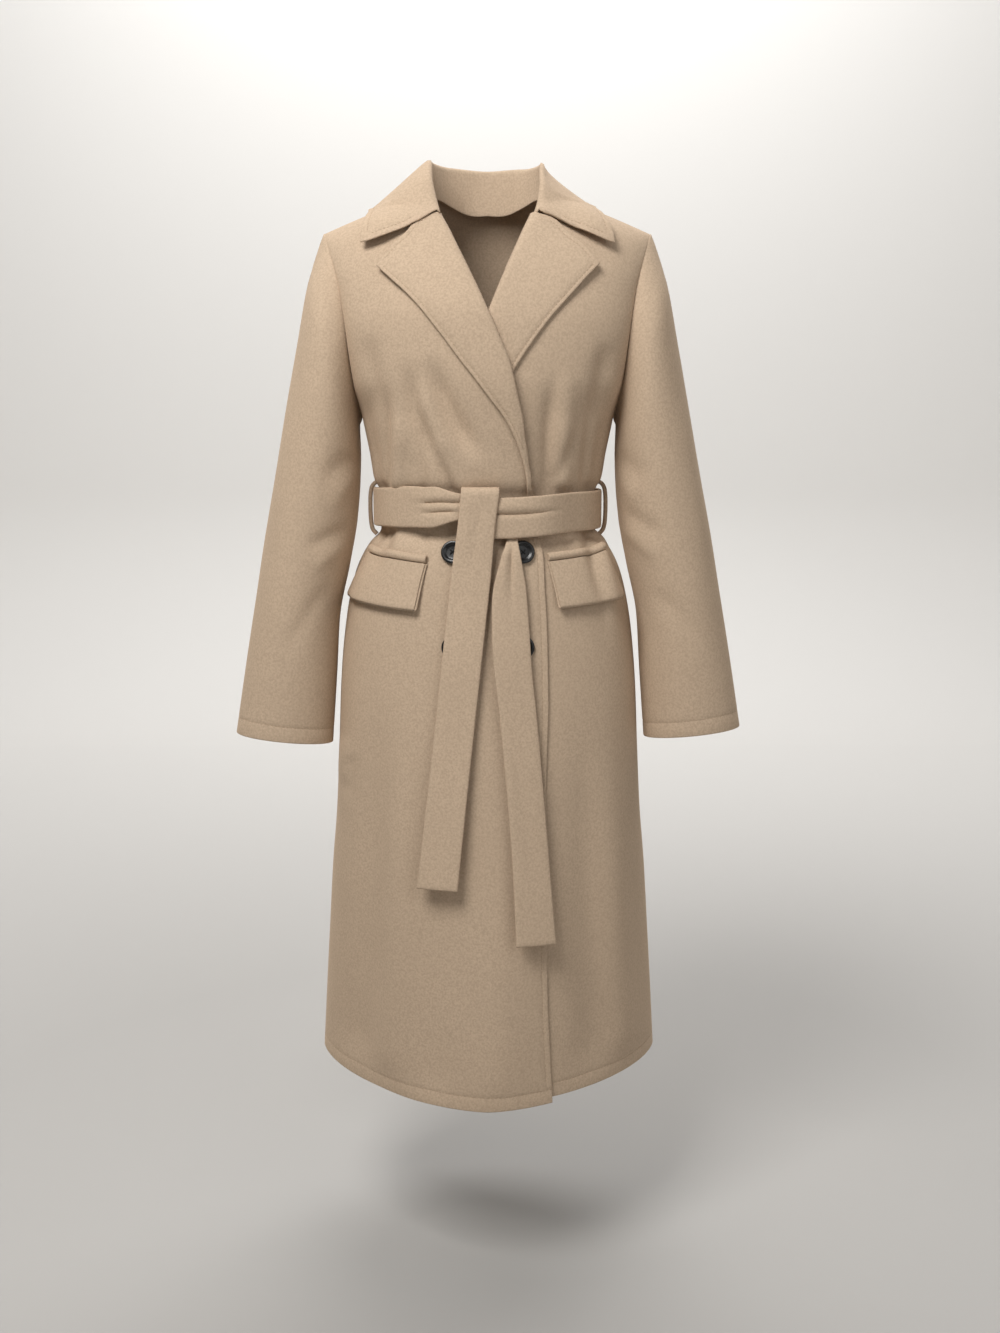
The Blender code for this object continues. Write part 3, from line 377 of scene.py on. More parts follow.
@dataclass(frozen=True)
class Body:
    """The shape that the coat keeps: its shell, the folds in it, and where its edges run."""

    shoulder_bow: float = 1.25
    neck_point_x: float = 0.074
    back_neck: float = 20.45
    neck_round: float = 2.5
    fold_end: float = 0.018
    fold_fade: float = 0.75
    lift_chest: float = 0.0085
    lift_skirt: float = 0.0040
    lift_x: tuple[float, float] = (-0.150, -0.080)
    lift_top: tuple[float, float] = (-0.140, -0.060)
    lift_waist: tuple[float, float] = (-0.350, -0.322)
    roll_set: float = 0.0033
    edge: tuple[tuple[float, float], ...] = (
        (0.0760, -1.0720), (0.0700, -0.9500), (0.0675, -0.7000),
        (0.0665, -0.4600), (0.0620, -0.4050), (0.0530, -0.3630),
    )
    top: int = len(SECTIONS) - 1
    seam_fade: tuple[float, float] = (0.965, 1.0)
    normal_step: tuple[float, float] = (0.004, 0.02)
    search_rounds: int = 14
    search_step: tuple[float, float] = (1e-4, 1e-3)
    search_start: float = 0.9
    search_end: float = 0.98
    search_margin: float = 0.01

    def column(self, name: str, w: Array) -> Array:
        """One size of the body at row w of the section table."""
        return curve(range(len(SECTIONS)), [getattr(row, name) for row in SECTIONS], w)

    def shell(self, side: Side, s: Array, w: Array) -> Array:
        """Inner face of the body without folds.

        Args:
            side: Front or back.
            s: Places across, from -1 to 1.
            w: Rows of the section table, from hem to shoulder.

        Returns:
            One point for each place.
        """
        s, w = np.broadcast_arrays(np.asarray(s, float), np.asarray(w, float))
        turn = np.radians(self.column("turn", w))
        angle = np.abs(s) * turn
        square = self.column("square", w)
        across = (np.sin(angle) / np.sin(turn)) ** square
        around = np.clip((np.cos(angle) - np.cos(turn)) / (1.0 - np.cos(turn)), 0.0, 1.0) ** square
        seam_y = self.column(side.value + "_side", w)
        x = np.sign(s) * self.column("x_side", w) * across
        y = seam_y + (self.column(side.value, w) - seam_y) * around
        z_mid = self.column("z_mid", w)
        z = z_mid + (self.column("z_side", w) - z_mid) * across**self.shoulder_bow
        return np.stack([x, y, z], axis=-1)

    def outward(self, side: Side, s: Array, w: Array) -> Array:
        """Directions square to the shell, outward.

        Args:
            side: Front or back.
            s: Places across, from -1 to 1.
            w: Rows of the section table.

        Returns:
            One unit vector for each place.
        """
        ds, dw = self.normal_step
        s, w = np.broadcast_arrays(np.asarray(s, float), np.asarray(w, float))
        across = self.shell(side, np.minimum(s + ds, 1.0), w) - self.shell(side, np.maximum(s - ds, -1.0), w)
        up = self.shell(side, s, np.minimum(w + dw, self.top)) - self.shell(side, s, np.maximum(w - dw, 0.0))
        normal = np.cross(across, up)
        return unit(-normal if side is Side.BACK else normal)

    def relief(self, side: Side, s: Array, point: Array) -> Array:
        """How far folds and creases lift the cloth.

        Args:
            side: Front or back.
            s: Places across.
            point: The shell's points there.

        Returns:
            One height for each point.
        """
        x, z = point[..., 0], point[..., 2]
        total = np.zeros(z.shape)
        for fold in FOLDS:
            if fold.side is not side:
                continue
            share = np.clip((z - fold.z_low) / (fold.z_high - fold.z_low), 0.0, 1.0)
            middle = fold.s_low + (fold.s_high - fold.s_low) * share
            below = fold.z_high < BELT_Z
            fade = smooth(share if below else 1.0 - share, 0.0, self.fold_fade)
            past = z - fold.z_high if below else fold.z_low - z
            fade = fade * (1.0 - smooth(past, 0.0, self.fold_end))
            total = total + fold.depth * fade * np.exp(-(((s - middle) / fold.width) ** 2))
        for crease in FRONT_CREASES if side is Side.FRONT else BACK_CREASES:
            total = total + crease.height(x, z)
        return total * (1.0 - smooth(np.abs(s), *self.seam_fade))

    def point(self, side: Side, s: Array, w: Array, out: Array | float = 0.0) -> Array:
        """Points on the body, folds included.

        Args:
            side: Front or back.
            s: Places across, from -1 to 1.
            w: Rows of the section table.
            out: How far to move them outward.

        Returns:
            One point for each place.
        """
        s, w = np.broadcast_arrays(np.asarray(s, float), np.asarray(w, float))
        found = self.shell(side, s, w)
        lift = self.relief(side, s, found) + out
        found[..., 1] += 0.5 * SEAM if side is Side.BACK else -0.5 * SEAM
        return found + self.outward(side, s, w) * lift[..., None]

    def on_front(self, x: Array, z: Array) -> tuple[Array, Array]:
        """Where on the front a point lies that is seen at x, z from the front.

        Args:
            x: Places across.
            z: Heights.

        Returns:
            The places s and the rows w.
        """
        x, z = np.broadcast_arrays(np.asarray(x, float), np.asarray(z, float))
        levels = [row.z_mid for row in SECTIONS]
        low, high = self.search_margin, self.top - self.search_margin
        w = np.clip(curve(levels, range(len(SECTIONS)), z), low, high)
        s = np.clip(x / SECTIONS[0].x_side, -self.search_start, self.search_start)
        s_step, w_step = self.search_step
        for _ in range(self.search_rounds):
            here = self.shell(Side.FRONT, s, w)
            ds = (self.shell(Side.FRONT, s + s_step, w) - here) / s_step
            dw = (here - self.shell(Side.FRONT, s, w - w_step)) / w_step
            det = ds[..., 0] * dw[..., 2] - ds[..., 2] * dw[..., 0]
            off_x, off_z = x - here[..., 0], z - here[..., 2]
            s = s + (off_x * dw[..., 2] - off_z * dw[..., 0]) / det
            s = np.clip(s, -self.search_end, self.search_end)
            w = np.clip(w + (off_z * ds[..., 0] - off_x * ds[..., 2]) / det, low, high)
        return s, w

    def front(self, hand: Hand, s: Array, w: Array, out: Array | float = 0.0) -> Array:
        """Points on one front; the right one lies over the left one and its lapel.

        Args:
            hand: Which front.
            s: Places across, from -1 to 1.
            w: Rows of the section table.
            out: How far to move them outward.

        Returns:
            One point for each place.
        """
        if hand is Hand.LEFT:
            return self.point(Side.FRONT, s, w, out)
        flat = self.shell(Side.FRONT, s, w)
        x, z = flat[..., 0], flat[..., 2]
        chest = self.lift_chest * smooth(z, *self.lift_waist) * (1.0 - smooth(z, *self.lift_top))
        skirt = self.lift_skirt * (1.0 - smooth(z, *self.lift_waist))
        return self.point(Side.FRONT, s, w, (chest + skirt) * smooth(x, *self.lift_x) + out)

    def neck_share(self) -> float:
        """Where the neck begins on the shoulder seam.

        Returns:
            The place s.
        """
        last = SECTIONS[self.top]
        turn = math.radians(last.turn)
        across = (self.neck_point_x / last.x_side) ** (1.0 / last.square)
        return math.asin(across * math.sin(turn)) / turn

    def back_top(self, s: Array) -> Array:
        """Row w of the back's upper edge: shoulder seams, and the neckline dipping between them."""
        share = np.minimum(np.abs(s) / self.neck_share(), 1.0)
        return self.top - (self.top - self.back_neck) * (1.0 - share**self.neck_round)

    def inner_edge(self, hand: Hand) -> tuple[Array, Array]:
        """Knots of a front's inner edge from hem to neck point.

        Args:
            hand: Which front.

        Returns:
            Rows w and places s.
        """
        rows = LAPEL_OVER if hand is Hand.RIGHT else LAPEL_UNDER
        points = [(-hand.value * x, z) for x, z in self.edge]
        points += [(row.roll_x + hand.value * self.roll_set, row.roll_z) for row in reversed(rows)]
        s, w = self.on_front([p[0] for p in points], [p[1] for p in points])
        w[0] = 0.0
        return np.append(w, self.top), np.append(s, hand.value * self.neck_share())


BODY = Body()


class Border(Enum):
    """The four borders of a cloth grid: two across it, and its foot and head."""

    START = 0
    END = 1
    FOOT = 2
    HEAD = 3


# Distances of close grid rows: in from a border, and to both sides of a groove's middle.
EDGE_ROWS = (0.0, 0.0003, 0.0009, 0.0018)
GROOVE_ROWS = (-0.0016, -0.0008, 0.0, 0.0008, 0.0016)
# Depth and width of a groove: along a hem or a border, and along a lapel.
HEM_GROOVE = (0.0005, 0.0012)
LAPEL_GROOVE = (0.0006, 0.0013)


@dataclass(frozen=True)
class Seam:
    """A row of stitches beside a border: its distance in, its groove, and the stretch that it covers."""

    border: Border
    inset: float = 0.009
    depth: float = 0.0006
    width: float = 0.0010
    low: float = 0.0
    high: float = 1.0
    fade: float = 0.004

    def groove(self, gap: Array, along: Array) -> Array:
        """Height of the groove.

        Args:
            gap: Distances from the border.
            along: Places along the border, from 0 to 1.

        Returns:
            Heights at or below 0.
        """
        begun = smooth(along, self.low - self.fade, self.low)
        ended = smooth(along, self.high, self.high + self.fade)
        return -self.depth * begun * (1.0 - ended) * np.exp(-(((gap - self.inset) / self.width) ** 2))


@dataclass
class Cloth:
    """A piece of cloth: a surface with a wall, rounded edges and pressed seams.

    place carries (u, v) from 0 to 1 to the wall's middle, moved out by lift. ring closes it across, and
    capped says that its foot is cut on a slant, as a sleeve is at the armhole.
    """

    name: str
    place: Place
    step: tuple[float, float]
    wall: float = WALL
    lift: float = 0.0
    ring: bool = False
    capped: bool = False
    flip: bool = False
    seams: tuple[Seam, ...] = ()
    probes: int = 161
    bevel: float = 0.75
    outer: Array = field(init=False, repr=False)
    normal: Array = field(init=False, repr=False)
    gaps: list[Array] = field(init=False, repr=False)
    across: Array = field(init=False, repr=False)
    along: Array = field(init=False, repr=False)
    area: float = field(init=False, default=0.0)
    flat: tuple[float, float] = field(init=False, default=(0.0, 0.0))

    def _rows(self, length: Array, step: float, first: Border, last: Border) -> Array:
        """Distances of the grid's rows: close ones at the borders and the seams, even ones between.

        Args:
            length: Full length of each line.
            step: Spacing of the even rows.
            first: Border that the lines start at.
            last: Border that they end at.

        Returns:
            One row of distances for each grid row.
        """
        ends = []
        for border in (first, last):
            rows = list(EDGE_ROWS)
            for seam in self.seams:
                if seam.border is border:
                    rows += [seam.inset + row for row in GROOVE_ROWS]
            ends.append(np.array(sorted(rows)))
        near, far = ends
        room = length - near[-1] - far[-1]
        count = max(2, round(float(np.mean(room)) / step))
        even = near[-1] + (np.arange(1, count) / count)[:, None] * room
        full = np.ones((1, len(length)))
        return np.concatenate([near[:, None] * full, even, length - far[::-1, None]])

    def spread(self) -> tuple[Array, Array]:
        """Spread the grid evenly over the cloth, and note its flat size and its distances from the borders.

        Returns:
            The grid's places u and v.
        """
        probe = np.linspace(0.0, 1.0, self.probes)
        line = lengths(self.place(np.full(self.probes, 0.5), probe))
        rows = self._rows(line[-1:], self.step[1], Border.FOOT, Border.HEAD)[:, 0]
        v = np.interp(rows, line, probe)
        uu, vv = np.meshgrid(probe, v, indexing="ij")
        grid = self.place(uu.ravel(), vv.ravel()).reshape(uu.shape + (3,))
        run = lengths(grid)
        if self.ring:
            count = round(float(np.mean(run[-1])) / self.step[0])
            want = (np.arange(count) / count)[:, None] * run[-1]
        else:
            want = self._rows(run[-1], self.step[0], Border.START, Border.END)
        u = np.stack([np.interp(want[:, j], run[:, j], probe) for j in range(len(v))], axis=1)
        self.gaps = [want, run[-1] - want]
        self.gaps += [np.broadcast_to(gap, want.shape) for gap in (rows, line[-1] - rows)]
        self.flat = self._capped_flat(grid) if self.capped else (float(run[-1].max()), float(line[-1]))
        return u, np.broadcast_to(v, u.shape)

    def _capped_flat(self, grid: Array) -> tuple[float, float]:
        """Flat size of a tube that starts on a slant.

        Args:
            grid: Its points, across and along.

        Returns:
            Its widest round, square to its length, and its longest run.
        """
        middle = grid.mean(axis=0)
        down = unit(np.gradient(middle, axis=0))
        off = grid - middle
        square = off - (off * down).sum(axis=-1, keepdims=True) * down
        return float(lengths(square)[-1].max()), float(lengths(grid.swapaxes(0, 1))[-1].max())

    def _normals(self, grid: Array) -> Array:
        """Directions square to a grid, on the side that shows.

        Args:
            grid: Its points.

        Returns:
            One unit vector for each point.
        """
        if self.ring:
            across = np.roll(grid, -1, axis=0) - np.roll(grid, 1, axis=0)
        else:
            across = np.gradient(grid, axis=0)
        normal = np.cross(across, np.gradient(grid, axis=1))
        return unit(-normal if self.flip else normal)

    def build(self) -> bpy.types.Object:
        """Make the piece.

        Returns:
            The new object, with a closed mesh.
        """
        u, v = self.spread()
        self.across, self.along = u, v
        grid = self.place(u.ravel(), v.ravel()).reshape(u.shape + (3,))
        grid = grid + self._normals(grid) * self.lift
        self.normal = self._normals(grid)
        rim = np.minimum(self.gaps[2], self.gaps[3])
        if not self.ring:
            rim = np.minimum(rim, np.minimum(self.gaps[0], self.gaps[1]))
        inside = np.clip(rim / (self.bevel * self.wall), 0.0, 1.0)
        half = 0.5 * self.wall * np.sqrt(1.0 - (1.0 - inside) ** 2)
        relief = np.zeros(u.shape)
        for seam in self.seams:
            place = v if seam.border in (Border.START, Border.END) else u
            relief = relief + seam.groove(self.gaps[seam.border.value], place)
        self.outer = grid + self.normal * (half + relief)[..., None]
        inner = grid - self.normal * half[..., None]
        self.area = self._area(grid)
        return self._mesh(inner)

    def _area(self, grid: Array) -> float:
        """Area of the cloth.

        Args:
            grid: Points of the wall's middle.

        Returns:
            The area.
        """
        if self.ring:
            grid = np.concatenate([grid, grid[:1]])
        a = np.diff(grid, axis=0)[:, :-1]
        b = np.diff(grid, axis=1)[:-1]
        return float(np.linalg.norm(np.cross(a, b), axis=-1).sum())

    def _mesh(self, inner: Array) -> bpy.types.Object:
        """Join the outer and the inner face along their common border.

        Args:
            inner: Points of the inner face.

        Returns:
            The new object.
        """
        n, m = inner.shape[:2]
        top = np.arange(n * m).reshape(n, m)
        border = np.zeros((n, m), bool)
        border[:, [0, -1]] = True
        if not self.ring:
            border[[0, -1]] = True
        under = np.where(border, top, 0)
        under[~border] = n * m + np.arange((~border).sum())
        points = np.concatenate([self.outer.reshape(-1, 3), inner[~border]])
        faces = []
        for index, turned in ((top, self.flip), (under, not self.flip)):
            if self.ring:
                index = np.concatenate([index, index[:1]])
            quad = np.stack([index[:-1, :-1], index[1:, :-1], index[1:, 1:], index[:-1, 1:]], axis=-1)
            faces.append((quad[..., ::-1] if turned else quad).reshape(-1, 4))
        return mesh_object(self.name, points, np.concatenate(faces))

    def stitch_line(self, seam: Seam) -> tuple[Array, Array]:
        """Middle of a seam's groove.

        Args:
            seam: One of this piece's seams.

        Returns:
            Points on the outer face and the normals there.
        """
        gap = self.gaps[seam.border.value]
        if seam.border in (Border.START, Border.END):
            row = int(np.argmin(np.abs(gap[:, 0] - seam.inset)))
            points, normal, along = self.outer[row], self.normal[row], self.along[row]
        else:
            row = int(np.argmin(np.abs(gap[0] - seam.inset)))
            points, normal, along = self.outer[:, row], self.normal[:, row], self.across[:, row]
        kept = (along >= seam.low) & (along <= seam.high)
        points, normal = points[kept], normal[kept]
        if self.ring and seam.border in (Border.FOOT, Border.HEAD):
            points = np.concatenate([points, points[:1]])
            normal = np.concatenate([normal, normal[:1]])
        return points, normal


def mesh_object(name: str, points: Array, faces: Array | list) -> bpy.types.Object:
    """A smooth-shaded mesh object in the scene.

    Args:
        name: Name of the piece.
        points: Its vertices.
        faces: Its faces, as rows of vertex numbers.

    Returns:
        The new object.
    """
    mesh = bpy.data.meshes.new(name)
    rows = faces.tolist() if isinstance(faces, np.ndarray) else faces
    mesh.from_pydata(np.asarray(points).tolist(), [], rows)
    mesh.shade_smooth()
    made = bpy.data.objects.new(name, mesh)
    bpy.context.scene.collection.objects.link(made)
    return made


@dataclass(frozen=True)
class StitchStation:
    """A place along a stitch, as a share of its length, with its thickness in radii and its rise."""

    share: float
    thick: float
    rise: float


STITCH = (
    StitchStation(-0.50, 0.25, -0.00045),
    StitchStation(-0.38, 0.80, 0.0),
    StitchStation(0.00, 1.00, 0.00018),
    StitchStation(0.38, 0.80, 0.0),
    StitchStation(0.50, 0.25, -0.00045),
)


@dataclass
class Stitching:
    """Machine stitches sunk along the grooves of a piece of cloth, joined in one mesh."""

    cloth: Cloth
    length: float = 0.0034
    gap: float = 0.0013
    radius: float = 0.00036
    sides: int = 6
    look: float = 0.0005

    def build(self) -> bpy.types.Object:
        """Make the stitches.

        Returns:
            The new object.
        """
        share, thick, rise = (
            np.array([getattr(station, name) for station in STITCH]) for name in ("share", "thick", "rise")
        )
        turn = np.linspace(0.0, 2.0 * math.pi, self.sides, endpoint=False)
        points, faces, count = [], [], 0
        for seam in self.cloth.seams:
            line, normal = self.cloth.stitch_line(seam)
            run = lengths(line)
            middle = np.arange(0.5 * self.length, run[-1], self.length + self.gap)
            up = unit(read_line(middle, run, normal))
            way = unit(read_line(middle + self.look, run, line) - read_line(middle - self.look, run, line))
            side = unit(np.cross(way, up))
            spine = read_line(middle, run, line)[:, None] + way[:, None] * (share * self.length)[:, None]
            spine = spine + up[:, None] * rise[:, None]
            ring = side[:, None, None] * np.cos(turn)[:, None] + up[:, None, None] * np.sin(turn)[:, None]
            made = spine[:, :, None] + ring * (thick * self.radius)[:, None, None]
            points.append(made.reshape(-1, 3))
            faces += tube_faces(count + np.arange(made[..., 0].size).reshape(made.shape[:3]))
            count += made[..., 0].size
        return mesh_object(self.cloth.name + "_stitches", np.concatenate(points), faces)


class Held(Enum):
    """How a piece of cloth is held."""

    HUNG = "hung"
    FOLDED = "folded"
    STRETCHED = "stretched"


class Slot(Enum):
    """Which colour of the coat a piece takes."""

    WOOL = "wool"
    BUTTON = "button"


@dataclass
class Tree:
    """Shorthand for filling a node tree."""

    tree: bpy.types.NodeTree

    def feed(self, socket: bpy.types.NodeSocket, value: object) -> None:
        """Set an input to a value, or link it.

        Args:
            socket: The input.
            value: Its value, or the socket that it is linked to.
        """
        if isinstance(value, bpy.types.NodeSocket):
            self.tree.links.new(value, socket)
        else:
            socket.default_value = value

    def add(self, kind: str, **values: object) -> bpy.types.Node:
        """A new node.

        Args:
            kind: Type of node without its ShaderNode prefix.
            **values: Properties, or values and links for inputs named with _ for a space.

        Returns:
            The node.
        """
        node = self.tree.nodes.new("ShaderNode" + kind)
        for key, value in values.items():
            if hasattr(node, key):
                setattr(node, key, value)
            else:
                self.feed(node.inputs[key.replace("_", " ")], value)
        return node

    def maths(self, kind: str, a: object, b: object = 0.0) -> bpy.types.NodeSocket:
        """A number worked out from two others.

        Args:
            kind: The operation.
            a: First number, a value or a socket.
            b: Second number.

        Returns:
            The socket of the result.
        """
        node = self.add("Math", operation=kind)
        self.feed(node.inputs[0], a)
        self.feed(node.inputs[1], b)
        return node.outputs[0]

    def spread(self, value: object, low: float, high: float) -> bpy.types.NodeSocket:
        """A value stretched so that low to high becomes 0 to 1."""
        return self.add("MapRange", Value=value, From_Min=low, From_Max=high).outputs["Result"]

    def blend(self, share: object, first: object, second: object) -> bpy.types.NodeSocket:
        """A colour between two others.

        Args:
            share: How much of the second colour there is.
            first: First colour, a value or a socket.
            second: Second colour.

        Returns:
            The socket of the colour.
        """
        node = self.add("Mix", data_type="RGBA")
        for index, value in ((0, share), (6, first), (7, second)):
            self.feed(node.inputs[index], value)
        return node.outputs[2]


@dataclass(frozen=True)
class Nap:
    """Brushed wool's nap, as a node group: flecks of fibre, slow clouds of tone, and a height."""

    name: str = "wool_nap"
    fleck_scale: float = 300.0
    cloud_scale: float = 9.0
    lie: float = 0.35
    hair_scale: float = 2.4
    blob_share: float = 0.68
    hair_share: float = 0.32
    fleck_range: tuple[float, float] = (0.38, 0.62)
    cloud_range: tuple[float, float] = (0.3, 0.7)

    def group(self) -> bpy.types.NodeTree:
        """Build the group once.

        Returns:
            The group that the materials share.
        """
        if self.name in bpy.data.node_groups:
            return bpy.data.node_groups[self.name]
        group = bpy.data.node_groups.new(self.name, "ShaderNodeTree")
        for label, value in (("Fleck Scale", self.fleck_scale), ("Cloud Scale", self.cloud_scale)):
            socket = group.interface.new_socket(label, in_out="INPUT", socket_type="NodeSocketFloat")
            socket.default_value = value
        for label in ("Fleck", "Cloud", "Height"):
            group.interface.new_socket(label, in_out="OUTPUT", socket_type="NodeSocketFloat")
        make = Tree(group)
        given = group.nodes.new("NodeGroupInput").outputs
        place = make.add("TexCoord").outputs["Object"]
        lain = make.add("Mapping", Vector=place, Scale=(1.0, 1.0, self.lie)).outputs["Vector"]
        fine = make.add("TexNoise", Vector=place, Scale=given["Fleck Scale"], Detail=1.0, Roughness=0.5)
        hair = make.maths("MULTIPLY", given["Fleck Scale"], self.hair_scale)
        fibre = make.add("TexNoise", Vector=lain, Scale=hair, Detail=2.0, Roughness=0.55, Distortion=0.6)
        cloud = make.add("TexNoise", Vector=place, Scale=given["Cloud Scale"], Detail=2.0, Roughness=0.5)
        blobs = make.maths("MULTIPLY", fine.outputs["Fac"], self.blob_share)
        hairs = make.maths("MULTIPLY", fibre.outputs["Fac"], self.hair_share)
        mixed = make.maths("ADD", blobs, hairs)
        end = group.nodes.new("NodeGroupOutput").inputs
        make.feed(end["Fleck"], make.spread(mixed, *self.fleck_range))
        make.feed(end["Cloud"], make.spread(cloud.outputs["Fac"], *self.cloud_range))
        make.feed(end["Height"], mixed)
        return group


def blank_material(name: str, tone: tuple[float, ...]) -> tuple[bpy.types.Material, Tree, bpy.types.Node]:
    """A new material with nothing but its shader.

    Args:
        name: Its name.
        tone: Its colour in the plain view.

    Returns:
        The material, its node tree and its shader.
    """
    made = bpy.data.materials.new(name)
    made.use_nodes = True
    made.diffuse_color = (*tone, 1.0)
    return made, Tree(made.node_tree), made.node_tree.nodes["Principled BSDF"]


@dataclass(frozen=True)
class WoolFinish:
    """Brushed wool, or wool thread: two tones of fleck, a slow change of tone, and a soft sheen."""

    name: str
    light: tuple[float, float, float]
    dark: tuple[float, float, float]
    fleck_scale: float = 390.0
    cloud_scale: float = 15.0
    cloud_share: float = 0.22
    roughness: float = 0.92
    sheen: float = 0.35
    bump: float = 0.5
    bump_depth: float = 0.0008
    specular: float = 0.2
    sheen_roughness: float = 0.45

    def make(self) -> bpy.types.Material:
        """The material, made once.

        Returns:
            The material.
        """
        if self.name in bpy.data.materials:
            return bpy.data.materials[self.name]
        made, make, shader = blank_material(self.name, self.light)
        nap = make.add("Group", node_tree=Nap().group())
        nap.inputs["Fleck Scale"].default_value = self.fleck_scale
        nap.inputs["Cloud Scale"].default_value = self.cloud_scale
        tone = make.blend(nap.outputs["Fleck"], (*self.dark, 1.0), (*self.light, 1.0))
        share = make.maths("MULTIPLY", nap.outputs["Cloud"], self.cloud_share)
        colour = make.blend(share, tone, (*self.dark, 1.0))
        bump = make.add("Bump", Height=nap.outputs["Height"], Strength=self.bump, Distance=self.bump_depth)
        make.feed(shader.inputs["Base Color"], colour)
        make.feed(shader.inputs["Normal"], bump.outputs["Normal"])
        shader.inputs["Roughness"].default_value = self.roughness
        shader.inputs["Specular IOR Level"].default_value = self.specular
        shader.inputs["Sheen Weight"].default_value = self.sheen
        shader.inputs["Sheen Roughness"].default_value = self.sheen_roughness
        shader.inputs["Sheen Tint"].default_value = (*self.light, 1.0)
        return made


@dataclass(frozen=True)
class HornFinish:
    """Black button with faint streaks and a low polish."""

    name: str
    dark: tuple[float, float, float] = (0.0055, 0.0055, 0.006)
    streak: tuple[float, float, float] = (0.009, 0.0085, 0.0085)
    roughness: tuple[float, float] = (0.26, 0.36)
    streak_stretch: float = 4.0
    streak_scale: float = 160.0
    streak_range: tuple[float, float] = (0.35, 0.75)

    def make(self) -> bpy.types.Material:
        """The material, made once.

        Returns:
            The material.
        """
        if self.name in bpy.data.materials:
            return bpy.data.materials[self.name]
        made, make, shader = blank_material(self.name, self.dark)
        place = make.add("TexCoord").outputs["Object"]
        lain = make.add("Mapping", Vector=place, Scale=(1.0, self.streak_stretch, 1.0)).outputs["Vector"]
        grain = make.add(
            "TexNoise", Vector=lain, Scale=self.streak_scale, Detail=4.0, Roughness=0.6, Distortion=0.8
        )
        share = make.spread(grain.outputs["Fac"], *self.streak_range)
        colour = make.blend(share, (*self.dark, 1.0), (*self.streak, 1.0))
        low, high = self.roughness
        rough = make.maths("ADD", make.maths("MULTIPLY", share, high - low), low)
        make.feed(shader.inputs["Base Color"], colour)
        make.feed(shader.inputs["Roughness"], rough)
        return made


def thread_finish(name: str, light: tuple[float, ...], dark: tuple[float, ...]) -> WoolFinish:
    """Twisted thread: finer fibre than cloth has, smoother, and with little change of tone.

    Args:
        name: Name of the finish.
        light: Its lighter tone.
        dark: Its darker tone.

    Returns:
        The finish.
    """
    fibre = {"fleck_scale": 2600.0, "cloud_scale": 40.0, "cloud_share": 0.1}
    surface = {"roughness": 0.8, "sheen": 0.2, "bump": 0.2, "bump_depth": 0.0002}
    return WoolFinish(name, light, dark, **fibre, **surface)


WOOL = WoolFinish("brushed_wool", (0.541, 0.412, 0.297), (0.449, 0.340, 0.243))
THREAD = thread_finish("wool_thread", (0.47, 0.355, 0.25), (0.36, 0.27, 0.185))
BLACK_THREAD = thread_finish("black_thread", (0.02, 0.02, 0.021), (0.008, 0.008, 0.008))
HORN = HornFinish("black_horn")


def dress(piece: bpy.types.Object, node: str, finish: WoolFinish | HornFinish) -> None:
    """Give a piece its finish, hang it from the root and hide the part that it shows.

    Args:
        piece: The object.
        node: Name of the part.
        finish: Its finish.
    """
    piece.data.materials.append(finish.make())
    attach(piece, "root")
    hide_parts(node)
    LOG.info("%s: %d faces", piece.name, len(piece.data.polygons))


def sew(cloth: Cloth, node: str) -> None:
    """Build a piece of cloth and its stitches, and dress them.

    Args:
        cloth: The cloth.
        node: Name of the part that it shows.
    """
    piece = cloth.build()
    dress(piece, node, WOOL)
    stitches = []
    if cloth.seams:
        stitches.append(Stitching(cloth).build())
        dress(stitches[0], node, THREAD)


@dataclass
class FrontPanel:
    """One front, from its edge and roll line to side seam and armhole, from hem to shoulder seam."""

    hand: Hand
    step: float = 0.0048
    hem_rise: float = 0.010
    hem_rise_share: float = 0.1
    hem_inset: float = 0.0175
    edge_inset: float = 0.0075
    edge_span: tuple[float, float] = (0.012, 0.535)
    tuck: float = 0.0025
    lap: float = 0.0034
    lap_share: float = 0.05
    lap_top: tuple[float, float] = (-0.30, -0.25)
    probes: int = 121

    def place(self, u: Array, v: Array) -> Array:
        """Points of the inner face.

        Args:
            u: Places across, from 0 to 1.
            v: Places along, from 0 to 1.

        Returns:
            One point for each place.
        """
        w = v * BODY.top
        inner = curve(*BODY.inner_edge(self.hand), w)
        point = BODY.front(self.hand, inner + (self.hand.value - inner) * u, w)
        if self.hand is Hand.LEFT:
            point[:, 2] += self.hem_rise * (1.0 - u) * (1.0 - smooth(v, 0.0, self.hem_rise_share))
        under = smooth(u, 1.0 - self.lap_share, 1.0) * (1.0 - smooth(point[:, 2], *self.lap_top))
        point[:, 0] -= self.hand.value * self.tuck * under
        point[:, 1] += self.lap * under
        return point

    def build(self) -> None:
        """Make the panel."""
        node = "front_" + self.hand.word
        low, high = self.edge_span
        seams = (
            Seam(Border.FOOT, self.hem_inset, *HEM_GROOVE),
            Seam(Border.START, self.edge_inset, low=low, high=high),
        )
        cloth = Cloth(node + "_cloth", self.place, (self.step, self.step), lift=0.5 * WALL, seams=seams)
        cloth.probes = self.probes
        cloth.flip = self.hand is Hand.RIGHT
        sew(cloth, node)


